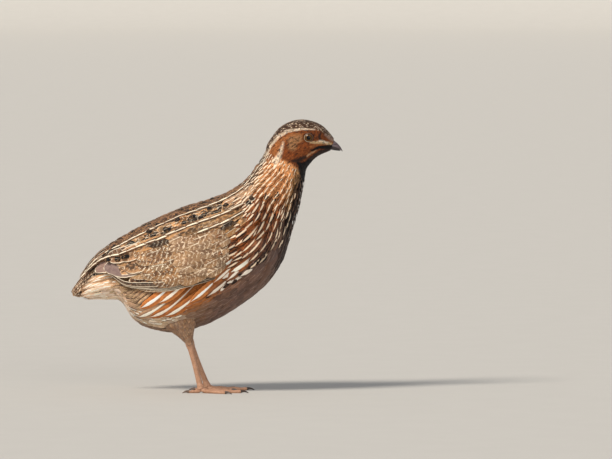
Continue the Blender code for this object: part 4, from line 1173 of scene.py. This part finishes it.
TAIL_ROWS = (
    Row("tail", "flight", 9, (2.3, 6), (2.2, 140), (0.02, 14), (0.2, 150), 2.2, -2.6, -0.4, 14),
    Row("tail", "rounded", 6, (2.9, 8), (2.8, 80), (0.9, 12), (1.1, 82), 2.3, -1.8, 0.7, 8),
    Row("rump", "rounded", 5, (3.3, 6), (3.3, 70), (1.4, 8), (1.5, 72), 2.3, -1.5, 0.8, 6),
    Row("rump", "rounded", 5, (3.9, 6), (3.8, 60), (2.1, 8), (2.3, 62), 2.4, -1.4, 0.9, 6),
    Row("tail_edge", "plume", 7, (2.9, 92), (2.9, 174), (0.9, 88), (0.9, 172), 1.5, -2.0, -0.1, 0),
)
GRID_ROWS = {"flight": 24, "rounded": 20, "plume": 20}
LOW_EDGE_DROP = 1.2             # how much closer to the body the last vane of a row lies than the first
ODD_IN_ROWS = {"covert": (0.12, "sandy"), "scapular": (0.35, "soot"), "rump": (0.5, "black"),
               "tertial": (0.2, "saddle")}


def lay_row(tract, row, side, stagger):
    """One row of feathers on one side, spread evenly from its first to its last."""
    count = row.count
    share = np.linspace(0, 1, count) + stagger / count
    share = share + tract.random.normal(0, 0.10 / count, count)
    root_place, root_angle = (blend(a, b, share) for a, b in zip(row.root_first, row.root_last))
    tip_place, tip_angle = (blend(a, b, share) for a, b in zip(row.tip_first, row.tip_last))
    tip_place = tip_place + tract.random.normal(0, 0.05, count)
    lift_tip = row.lift_tip - LOW_EDGE_DROP * share ** 2 + tract.random.uniform(-0.1, 0.1, count)
    tract.lay((root_place, root_angle * side), (tip_place, tip_angle * side), row.half_width,
              row.lift_root, lift_tip, row.roll * side)


def row_tracts(rows, sides, seed):
    """A tract for each row, where every other row is shifted by half a feather."""
    tracts = []
    for number, row in enumerate(rows):
        tract = Tract(row.look, row.profile, rows=GRID_ROWS[row.profile], columns=6, seed=seed + number,
                      tones=(0.85, 1.12), odd=ODD_IN_ROWS.get(row.look, NONE_ODD))
        for side in sides:
            lay_row(tract, row, side, 0.5 * (number % 2) - 0.25)
        tracts.append(tract)
    return tracts


# ---------------- the head
EYE_CLEAR = 2.45                # feathers keep this far from the middle of the eye
HEAD_OVERLAP = 3.8
HEAD_STEP = table((13.0, 0.95), (15.0, 0.70), (17.5, 0.55), (20.0, 0.40))
HEAD_WIDTH = table((13.0, 0.50), (15.0, 0.36), (17.5, 0.30), (20.0, 0.19))


def clear_share(place, angle):
    """The share of its length that a head feather may have without covering the eye."""
    tip, _ = tips(place, angle, HEAD_STEP(place) * HEAD_OVERLAP, 0.0)
    share = np.zeros(np.shape(place))
    for wanted in (0.3, 0.5, 0.75, 1.0):
        free = np.full(np.shape(place), True)
        for part in (0.0, 0.5, 1.0):
            point = form(blend(place, tip, wanted * part), angle)
            away = np.hypot(point[..., 0] - EYE_CENTRE[0], point[..., 2] - EYE_CENTRE[2])
            free &= (away > EYE_CLEAR) | (angle < 45)
        share = np.where(free, wanted, share)
    return share


def on_crown(place, angle):
    point = form(place, angle)
    return (clear_share(place, angle) > 0) & (point[..., 2] > BROW_HEIGHT(point[..., 0]) + 0.4)


def on_face(place, angle):
    above_throat = place > 12.9 + 0.4 * smooth(112, 130, angle)
    return above_throat & (clear_share(place, angle) > 0) & ~on_crown(place, angle)


def head_tract(look, seed, end, lifts, keep, share_of=None, **options):
    """Very short feathers from the bill back to the neck, smallest on the face."""
    tract = Tract(look, "lance", rows=4, columns=2, fine=True, seed=seed, **options)
    columns = straight_columns(1.1, 180.0, 2.2)
    lay_columns(tract, columns, 19.9, end, HEAD_STEP, HEAD_OVERLAP, HEAD_WIDTH, lifts, keep=keep,
                share_of=share_of)
    return tract


def crown_tract():
    return head_tract("crown", 41, 13.0, (-0.6, 0.05), on_crown, tones=(0.5, 1.3), odd=(0.17, "stripe"))


def face_tract():
    return head_tract("head", 42, 12.9, (-0.5, 0.15), on_face, clear_share, tones=(0.75, 1.3),
                      odd=(0.12, "dark"))


# ---------------- thighs
STANCE = 10.5
THIGH_TOP = np.array((-15.0, 44.0))
ANKLE = np.array((-9.2, 28.0))
THIGH_RADIUS = 14.2
ANKLE_RADIUS = 2.1
THIGH_TAPER = 1.35
THIGH_FLATNESS = 0.55           # how much less a thigh swells sideways than fore and aft
THIGH_TUCK = 0.5                # the share by which the hidden top is narrower
CUFF_TAPER = 2.5                # how fast the cuff of feathers narrows round the ankle


def thigh_on(side):
    """A surface for one thigh, where a place runs from 0 at the top to 1 at the ankle."""
    start = np.array((THIGH_TOP[0], STANCE * side, THIGH_TOP[1]))
    down = np.array((ANKLE[0] - THIGH_TOP[0], 0.0, ANKLE[1] - THIGH_TOP[1]))
    aside = np.array((0.0, 1.0, 0.0))
    upward = np.cross(unit(down), aside)

    def points_at(share, degrees):
        swell = (THIGH_RADIUS - ANKLE_RADIUS) * np.clip(1 - share, 0, 1) ** THIGH_TAPER
        swell = swell * (1 - THIGH_TUCK * fall(0.0, 0.38, share))
        swell = swell - CUFF_TAPER * np.maximum(share - 0.9, 0)
        share, swell, angle = share[..., None], swell[..., None], np.radians(degrees)[..., None]
        deep = (ANKLE_RADIUS + swell) * np.cos(angle)
        wide = (ANKLE_RADIUS + swell * THIGH_FLATNESS) * np.sin(angle)
        return start + down * share + upward * deep + aside * wide

    def on(share, degrees):
        share, degrees = np.broadcast_arrays(np.asarray(share, float), np.asarray(degrees, float))
        along = points_at(share + 0.02, degrees) - points_at(share - 0.02, degrees)
        around = points_at(share, degrees + 2.0) - points_at(share, degrees - 2.0)
        return points_at(share, degrees), unit(np.cross(along, around))
    return on


def thigh_tract(side):
    """Short feathers in rings down one thigh, fewer and smaller towards the ankle."""
    tract = Tract("thigh", "plume", rows=8, on=thigh_on(side), seed=51 + side)
    for number, share in enumerate(np.arange(0.06, 0.93, 0.06)):
        count = int(round(34 - 20 * share))
        degrees = (np.arange(count) + 0.5 * (number % 2)) * 360.0 / count
        tract.lay((share, degrees), (share + 0.34 - 0.14 * share, degrees), 1.5 - 0.7 * share, -0.5, 0.15)
    return tract


# ---------------- the skin
# how far the skin lies inside the body form, and inside the thighs
COAT_DEPTH = table((0.0, 0.9), (2.0, 2.2), (3.0, 1.6), (10.0, 1.5), (12.5, 0.9), (14.0, 0.5), (20.0, 0.35))
THIGH_COAT_DEPTH = 0.45
SKIN_UNDER_WING = 0.9           # the share of the wing's swell that the skin follows


def body_grid():
    """The skin's rings from tail to bill, with the colour and the unwrap of each point."""
    places = np.concatenate((np.linspace(0.0, 13.0, 150)[:-1], np.linspace(13.0, LAST_STATION, 110)))
    sides = 128
    degrees = np.arange(sides) * 360.0 / sides - 180.0
    place, angle = np.meshgrid(places, degrees, indexing="ij")
    points, normal = surface(place, angle)
    lift = wing_swell(place, angle) * SKIN_UNDER_WING - COAT_DEPTH(place)
    maps = np.stack(unwrap(place, angle + 360.0), axis=-1)
    return points + normal * lift[..., None], markings(place, angle), maps


def thigh_grid(side):
    """The skin's rings down one thigh, with the colour and the unwrap of each point."""
    share, turn = np.meshgrid(np.linspace(0.0, 1.0, 25), np.arange(32) * 360.0 / 32, indexing="ij")
    points, normal = thigh_on(side)(share, turn)
    points = points - normal * THIGH_COAT_DEPTH
    maps = np.stack((0.1 + 0.05 * side + turn / 360 * 0.05, share * 0.08), axis=-1)
    return points, np.broadcast_to(COLOURS["under"], points.shape), maps


def with_ends(grid):
    """The values of a grid's points, and again the first's and the last's for the middles of its ends."""
    flat = grid.reshape(-1, grid.shape[-1])
    return np.concatenate((flat, flat[[0, -1]]))


def skin(material):
    """One skin from tail to bill, with the thighs, that stands for the solids' flesh."""
    points, quads, triangles, colours, maps = [], [], [], [], []
    total = 0
    for rings, colour, unwrapped in (body_grid(), *(thigh_grid(side) for side in SIDES.values())):
        own, (four, three) = ring_shell(rings)
        points.append(own)
        quads.append(four + total)
        triangles.append(three + total)
        colours.append(with_ends(colour))
        maps.append(with_ends(unwrapped))
        total += len(own)
    flesh = ["torso", "neck", "head", "tail"]
    for name in SIDES:
        flesh += [f"wing_{name}", f"thigh_{name}"]
    faces = [np.concatenate(quads), np.concatenate(triangles)]
    mesh = mesh_object("skin", np.concatenate(points), faces, material, "body_feathers", flesh).data
    add_uv(mesh, "OFBake", np.concatenate(maps))
    add_colour(mesh, "Web", np.concatenate(colours))


# ---------------- eyes
LID_RADIUS = 2.12
LID_WIDTH = 0.35
LID_THICKNESS = (0.24, 0.08)    # at the rim and at the outer edge
LID_FLATNESS = 0.15             # how much lower than wide the opening is
LID_WRINKLES = 17
LID_WRINKLE_DEPTH = 0.05
PUPIL_RADIUS = 1.2
IRIS_RADIUS = 1.95
EYE_SCALE = 4.0                 # millimetres that the eye's own radius attribute counts as one
CORNEA_RISE = 0.35
CORNEA_SPREAD = 0.55            # radians from the eye's axis


def eye_centre(side):
    """The middle of the eye on one side."""
    return EYE_CENTRE * (1, side, 1)


def eye_material():
    """A dark olive iris round a black pupil, under a clear wet coat."""
    n = Nodes("eye")
    _, (radius, turn, _, _) = n.attribute("Eye")
    fibres = n.noise(n.vector(turn * 14.0, radius * 2.0, 0.0), 3.0, 4.0)
    colour = n.mix(n.ramp(fibres, 0.3, 0.7), linear((0.28, 0.17, 0.07)), linear((0.50, 0.33, 0.12)))
    rim, edge = IRIS_RADIUS / EYE_SCALE, PUPIL_RADIUS / EYE_SCALE
    colour = n.mix(n.ramp(radius, rim - 0.12, rim + 0.03), colour, linear((0.08, 0.06, 0.05)))
    colour = n.mix(n.ramp(radius, edge - 0.02, edge + 0.03), (0.002, 0.002, 0.002), colour)
    return n.finish(colour, 0.25, None, Coat_Weight=1.0, Coat_Roughness=0.03, Coat_IOR=1.22,
                    Specular_IOR_Level=0.1)


def eye(name, side, material):
    """An eyeball with a slightly raised cornea."""
    tilt, turn = np.meshgrid(np.linspace(0.02, math.pi - 0.02, 40), turns(48), indexing="ij")
    radius = EYE_RADIUS - 0.05 + CORNEA_RISE * np.exp(-(tilt / CORNEA_SPREAD) ** 2)
    out = radius * np.sin(tilt)
    points = np.stack((out * np.cos(turn), side * radius * np.cos(tilt), out * np.sin(turn)), axis=-1)
    thing = rings_object(f"eyeball_{name}", points + eye_centre(side), material, "eye", [f"eye_{name}"])
    local = np.stack((out / EYE_SCALE, turn / TURN, tilt / math.pi), axis=-1).reshape(-1, 3)
    add_colour(thing.data, "Eye", np.concatenate((local, ((0, 0, 0), (0, 0, 1)))))


def lid_material():
    """Lids with a black rim, then a ring of pale feathers that stays pale behind the eye and turns dull in
    front, partly as painted light, and a brown edge.
    """
    n = Nodes("eyelid")
    grain = n.noise(n.place(), 2600.0, 3.0, 0.6)
    grainy = n.ramp(grain, 0.3, 0.7)
    _, (share, turn, _, _) = n.attribute("Lid")
    # partly painted light: the ring is pale behind the eye, the side the key light comes from, and dull in
    # front
    behind = n.ramp(n.math("ABSOLUTE", turn - 0.58), 0.14, 0.34, 1.0, 0.0)
    dull = n.mix(grainy, linear((0.30, 0.20, 0.13)), linear((0.54, 0.38, 0.26)))
    pale = n.mix(grainy, linear((0.66, 0.54, 0.42)), linear((0.93, 0.84, 0.72)))
    colour = n.mix(n.ramp(share, 0.08, 0.20), linear((0.07, 0.05, 0.045)), n.mix(behind, dull, pale))
    colour = n.mix(n.ramp(share, 0.30, 0.45), colour, COLOURS["lid"])
    return n.finish(colour, 0.5, n.bump(grain, 0.5, 0.0002), Specular_IOR_Level=0.35)


def lids(name, side, material):
    """Both lids as one ring that lies on the eyeball and is thickest at its rim."""
    around, section = 72, 16
    turn, corner = np.meshgrid(turns(around), turns(section), indexing="ij")
    opening = LID_RADIUS - LID_FLATNESS * np.sin(turn) ** 2
    share = (1 - np.cos(corner)) / 2
    radius = blend(opening, EYE_CLEAR + LID_WIDTH, share)
    wrinkle = 1 + LID_WRINKLE_DEPTH * np.sin(turn * LID_WRINKLES)
    thick = blend(*LID_THICKNESS, share) * wrinkle
    stand = EYE_RADIUS - 0.02 + 0.12 * np.exp(-(radius / 2) ** 2) + thick * np.sin(corner)
    depth = np.sqrt(np.maximum(stand ** 2 - radius ** 2, 0.01))
    points = np.stack((radius * np.cos(turn), depth * side, radius * np.sin(turn)), axis=-1)
    points = points.reshape(-1, 3) + eye_centre(side)
    # the last section joins the first, so its faces count on round past the last point
    faces = grid_faces(around, section, closed=True) % len(points)
    thing = mesh_object(f"lids_{name}", points, outward(points, [faces]), material, "head_feathers")
    add_colour(thing.data, "Lid", np.stack((share, turn / TURN, corner), axis=-1).reshape(-1, 3))


# ---------------- bill
# the bill's top, mouth and bottom line, each bent through three points (x, z)
CULMEN = ((69.0, 139.1), (73.5, 137.1), (75.3, 132.4))
TOMIUM = ((68.4, 135.3), (72.8, 134.9), (75.1, 132.35))
GONYS = ((68.6, 133.4), (71.8, 132.7), (73.9, 132.7))
LOW_TOMIUM = ((68.4, 135.4), (72.8, 135.0), (74.1, 133.0))
NOSTRIL = (71.1, 136.9)
BILL_TIP = 0.22                 # half width of the bill at its tip
MOUTH_FLAT = 0.08               # the share of a half's height that its flat side takes up


def bend(points, part):
    """Points along a curve bent through a first, towards a middle and to a last point."""
    first, middle, last = (np.array(point) for point in points)
    part = part[..., None]
    return first * (1 - part) ** 2 + middle * 2 * part * (1 - part) + last * part ** 2


def nostril_swell(points):
    """How far the flap over the nostril stands out, and the slit under it lies in."""
    along, height = points[..., 0] - NOSTRIL[0], points[..., 2] - NOSTRIL[1]
    flap = np.hypot(along / 1.5, height / 0.75)
    slit = np.hypot((along - 0.2) / 1.1, (height + 0.62) / 0.28)
    return 0.34 * fall(0.3, 1.0, flap) - 0.5 * fall(0.5, 1.0, slit)


def bill_half(name, top, bottom, upper, half_width, material, replaced):
    """Half a bill, flat towards the mouth and rounded outside, with a flap over each nostril."""
    part, turn = np.meshgrid(np.linspace(0, 1, 41), turns(48, 0.5), indexing="ij")
    high, low = bend(top, part), bend(bottom, part)
    mouth, outside = (low, high) if upper else (high, low)
    width = half_width * (1 - part) ** 0.75 + BILL_TIP
    rise = np.cos(turn) if upper else -np.cos(turn)
    high_side = MOUTH_FLAT + (1 - MOUTH_FLAT) * np.abs(rise) ** 1.1
    share = np.where(rise > 0, high_side, MOUTH_FLAT * (1 - np.abs(rise) ** 0.5))
    centre = blend(mouth, outside, share[..., None])
    out = powered(np.sin(turn), np.where(rise > 0, 0.85, 0.5))
    points = np.stack((centre[..., 0], width * out, centre[..., 1]), axis=-1)
    if upper:
        points[..., 1] += np.sign(points[..., 1]) * nostril_swell(points)
    rings_object(name, points, material, "bill_horn", replaced)


def horn_material(name, base, tip, low, high, scale):
    """Horn that darkens towards its tip, along the X axis of the bird."""
    n = Nodes(name)
    where = n.place()
    x, _, _ = n.split("XYZ", where)
    grain = n.noise(where, scale, 4.0, 0.6)
    colour = n.mix(n.ramp(x, low, high), linear(base), linear(tip))
    colour = n.mix(n.ramp(grain, 0.35, 0.75, 0.0, 0.4), colour, linear(np.array(base) * 0.6))
    return n.finish(colour, n.ramp(grain, 0.2, 0.8, 0.28, 0.5), n.bump(grain, 0.3, 0.0002),
                    Specular_IOR_Level=0.5)


# ---------------- legs
FOOT_JOINT = {"right": (-2.6, 2.4), "left": (0.6, 2.4)}
TARSUS_RADIUS = 1.45
FOOT_TOP = 3.5
KNUCKLE_LOW = -0.8              # how far the knuckle reaches below its joint, before the floor
SHANK_WIDTH = table((0.0, 1.3), (0.05, 1.5), (0.12, 1.4), (0.22, 1.05), (0.5, 0.92), (0.8, 0.95), (1.0, 1.1))
KNUCKLE_WIDTH = table((KNUCKLE_LOW, 1.3), (0.0, 1.95), (1.6, 1.7), (FOOT_TOP, 1.36))
Toe = namedtuple("Toe", "name heading length radius")
TOES = (
    Toe("inner", -30, 16.0, 1.25),
    Toe("middle", 3, 22.0, 1.35),
    Toe("outer", 34, 16.5, 1.2),
    Toe("hind", 170, 7.0, 1.1),
)
CLAW_LENGTH = 4.0
CLAW_ROOT = 0.35                # how far a claw's root lies inside its toe
CLAW_RADIUS = 0.75
CLAW_TIP = 0.1
CLAW_ARCH = 0.35
CLAW_DROP = 0.75
TOE_TAPER = 0.35                # how much narrower a toe is at its tip
TOE_PADS = 3
TOE_PAD_RISE = 0.072
TOE_LANDING = 0.29              # the share of its length where a toe reaches the floor
SCUTE_LENGTH = 1.25


def tube_rings(centres, wide, deep, sides, floor=None, plates=None):
    """Rings of points along centres.  plates(row, angle) swells the surface into scutes."""
    ahead = unit(np.gradient(centres, axis=0))
    aside = np.where(np.abs(ahead[:, 1:2]) < 0.9, (0.0, 1.0, 0.0), (1.0, 0.0, 0.0))
    upward = unit(np.cross(ahead, aside))
    aside = np.cross(upward, ahead)
    row, angle = np.meshgrid(np.arange(len(centres)), turns(sides), indexing="ij")
    swell = 1.0 if plates is None else plates(row, angle)
    tall = (deep[:, None] * np.cos(angle) * swell)[..., None]
    broad = (wide[:, None] * np.sin(angle) * swell)[..., None]
    points = centres[:, None] + upward[:, None] * tall + aside[:, None] * broad
    if floor is not None:
        points[..., 2] = np.maximum(points[..., 2], floor)
    return points


def scutes(count, rows, depth):
    """A swelling that steps back in plates on the face opposite angle 0."""
    def plates(row, angle):
        share = row / rows * count % 1.0
        front = smooth(0.2, 0.7, -np.cos(angle))
        return 1 + depth * front * (share ** 0.6 - 0.4)
    return plates


def leg_material():
    """Pale flesh-coloured scales with darker seams."""
    n = Nodes("scales")
    where = n.place()
    cells = n.node("ShaderNodeTexVoronoi", {"Vector": where, "Scale": 2100.0}, feature="DISTANCE_TO_EDGE")
    seam = n.ramp(cells, 0.02, 0.14)
    stain = n.noise(where, 260.0, 4.0, 0.6)
    colour = n.mix(n.ramp(stain, 0.35, 0.7), linear((0.80, 0.62, 0.50)), linear((0.68, 0.50, 0.38)))
    colour = n.mix(seam, linear((0.60, 0.43, 0.33)), colour)
    return n.finish(colour, n.ramp(stain, 0.2, 0.8, 0.42, 0.6), n.bump(seam, 0.35, 0.0002),
                    Specular_IOR_Level=0.4)


def leg(name, material, claw_material):
    """Shank, foot and toes, each over its solid."""
    side = SIDES[name]
    ankle = np.array((ANKLE[0], STANCE * side, ANKLE[1]))
    joint = np.array((FOOT_JOINT[name][0], STANCE * side, FOOT_JOINT[name][1]))
    down = unit(joint - ankle)
    rows, sides = 120, 28
    share = np.linspace(0, 1, rows + 1)
    centres = blend(ankle - down, joint - down * FOOT_TOP, share[:, None])
    width = TARSUS_RADIUS * SHANK_WIDTH(share)
    rings = tube_rings(centres, width * 0.85, width, sides, plates=scutes(15, rows, 0.10))
    rings_object(f"shank_{name}", rings, material, "leg_scales", [f"tarsus_{name}"])
    rows = 30
    centres = joint - down * np.linspace(KNUCKLE_LOW, FOOT_TOP - 0.05, rows)[:, None]
    width = KNUCKLE_WIDTH(np.linspace(KNUCKLE_LOW, FOOT_TOP, rows))
    rings = tube_rings(centres, width, width * 1.1, sides, floor=0.0)
    rings_object(f"knuckle_{name}", rings, material, "leg_scales", [f"foot_{name}"])
    for toe in TOES:
        heading = math.radians(toe.heading * side)
        forward = np.array((math.cos(heading), math.sin(heading), 0.0))
        tip = toe_piece(name, toe, joint, forward, material)
        claw_piece(name, toe, tip, forward, claw_material)


def toe_piece(name, toe, joint, forward, material):
    """A toe of padded lengths that comes down from the joint and lies on the floor."""
    rows = int(toe.length * 3.2)
    part = np.linspace(0, 1, rows + 1)
    radius = toe.radius * (1 - TOE_TAPER * part + TOE_PAD_RISE * np.cos(part * TURN * TOE_PADS))
    centres = joint + forward * (toe.length * part)[:, None]
    centres[:, 2] = radius * 0.9 + (joint[2] - toe.radius) * np.maximum(0, 1 - part / TOE_LANDING) ** 2
    radius[-1] *= 0.7
    plates = scutes(toe.length / SCUTE_LENGTH, rows, 0.13)
    rings = tube_rings(centres, radius, radius, 20, floor=0.0, plates=plates)
    rings_object(f"toe_{name}_{toe.name}", rings, material, "leg_scales")
    return centres[-1]


def claw_piece(name, toe, root, forward, material):
    """A claw that arches a little and comes down to the floor at its tip."""
    share = np.linspace(0, 1, 23)
    length = CLAW_LENGTH * (0.8 if toe.name == "hind" else 1.0)
    size = CLAW_RADIUS * (1 - share) ** 0.8 + CLAW_TIP
    centres = root - forward * CLAW_ROOT + forward * ((length + 0.6) * share)[:, None]
    height = root[2] + CLAW_ARCH * np.sin(share * math.pi) - CLAW_DROP * share ** 2
    centres[:, 2] = np.maximum(height, size * 0.9)
    rings = tube_rings(centres, size * 0.85, size, 16, floor=0.0)
    rings_object(f"nail_{name}_{toe.name}", rings, material, "claw_horn", [f"claw_{name}_{toe.name}"])


# ---------------- studio
AIM = (55.1, 89.4)              # x and z of the point that the camera looks at
CAMERA_DISTANCE = 4.0
CAMERA_ELEVATION = 2.5
LENS = 427.8
FLOOR_RADIUS = 12.0             # in metres, like the bend and the camera's distance
WALL_BEND = 2.0                 # the radius of the bend from the floor up into the wall


def camera():
    """A long lens that looks a little down at the bird's right side."""
    data = bpy.data.cameras.new("camera")
    data.lens = LENS
    data.sensor_width = 36.0
    data.clip_end = 60.0
    thing = link("camera", data)
    tilt = math.radians(CAMERA_ELEVATION)
    back = Vector((0.0, -math.cos(tilt), math.sin(tilt)))
    aim = Vector((AIM[0] + SHIFT[0], SHIFT[1], AIM[1] + SHIFT[2])) * MM
    thing.location = aim + back * CAMERA_DISTANCE
    thing.rotation_euler = (-back).to_track_quat("-Z", "Y").to_euler()
    bpy.context.scene.camera = thing


def floor():
    """A pale floor that turns up into a low wall all round."""
    bend_angle = np.linspace(0, math.pi / 2, 17)
    radius = np.concatenate(((0.0, 0.4), FLOOR_RADIUS + WALL_BEND * np.sin(bend_angle)))[:, None]
    height = np.concatenate(((0.0, 0.0), WALL_BEND * (1 - np.cos(bend_angle))))[:, None]
    sides = 96
    turn = turns(sides)
    points = np.stack(np.broadcast_arrays(radius * np.cos(turn), radius * np.sin(turn), height), axis=-1)
    faces = grid_faces(len(points) - 1, sides, closed=True)
    n = Nodes("studio_floor")
    cloud = n.ramp(n.noise(n.place(), 40.0), 0.3, 0.7)
    tone = n.mix(cloud, linear((0.78, 0.765, 0.735)), linear((0.785, 0.77, 0.74)))
    material = n.finish(tone, 0.9, None, Specular_IOR_Level=0.1)
    smooth_object("floor", points.reshape(-1, 3), [faces], material)


def sun(name, direction, strength, softness, colour):
    """A sun that shines in a direction, as wide in the sky as its softness in degrees."""
    data = bpy.data.lights.new(name, "SUN")
    data.energy = strength
    data.angle = math.radians(softness)
    data.color = colour
    link(name, data).rotation_euler = Vector(direction).to_track_quat("-Z", "Y").to_euler()


def studio():
    """The floor, a warm key light, a soft fill and a pale blue sky."""
    floor()
    sun("key", (0.66, 0.58, -0.85), 3.1, 16, (1.0, 0.94, 0.86))
    sun("fill", (-0.3, 0.95, -0.25), 1.05, 40, (1.0, 0.97, 0.93))
    world = bpy.data.worlds.new("studio")
    world.use_nodes = True
    sky = world.node_tree.nodes["Background"]
    sky.inputs["Color"].default_value = (0.80, 0.85, 0.95, 1.0)
    sky.inputs["Strength"].default_value = 0.40
    bpy.context.scene.world = world
    bpy.context.scene.view_settings.view_transform = "Standard"


# ---------------- the whole bird
BILL_SPAN = (0.070, 0.0755)     # metres along X between which the bill darkens, and the claws
CLAW_SPAN = (-0.02, 0.03)


def coat():
    """Every piece of plumage."""
    plumage = plumage_material()
    streaked = [*neck_tracts(), *breast_tracts(), *flank_tracts()]
    coat_piece("coat_crown", [crown_tract()], plumage, "head_feathers")
    coat_piece("coat_head", [face_tract()], plumage, "head_feathers")
    coat_piece("coat_back", back_tracts(), plumage, "body_feathers")
    coat_piece("coat_breast", streaked, plumage, "neck_feathers")
    coat_piece("coat_belly", under_tracts(), plumage, "body_feathers")
    coat_piece("coat_thighs", [thigh_tract(side) for side in SIDES.values()], plumage, "thigh_feathers")
    coat_piece("coat_tail", row_tracts(TAIL_ROWS, SIDES.values(), 80), plumage, "tail_feathers")
    for name, side in SIDES.items():
        coat_piece(f"coat_wing_{name}", row_tracts(WING_ROWS, [side], 60), plumage, "wing_feathers")


def eyes_bill_and_legs():
    """Every bare piece."""
    eyes, rims = eye_material(), lid_material()
    for name, side in SIDES.items():
        eye(name, side, eyes)
        lids(name, side, rims)
    horn = horn_material("bill_horn", (0.43, 0.37, 0.38), (0.30, 0.24, 0.25), *BILL_SPAN, 900.0)
    bill_half("bill_top", CULMEN, TOMIUM, True, 2.7, horn, ["bill_upper"])
    dark_horn = horn_material("bill_horn_low", (0.22, 0.18, 0.19), (0.16, 0.13, 0.14), *BILL_SPAN, 900.0)
    bill_half("bill_bottom", LOW_TOMIUM, GONYS, False, 2.2, dark_horn, ["bill_lower"])
    scales = leg_material()
    claws = horn_material("claw_horn", (0.40, 0.31, 0.25), (0.20, 0.15, 0.12), *CLAW_SPAN, 1200.0)
    for name in SIDES:
        leg(name, scales, claws)


camera()
studio()
skin(skin_material())
coat()
eyes_bill_and_legs()
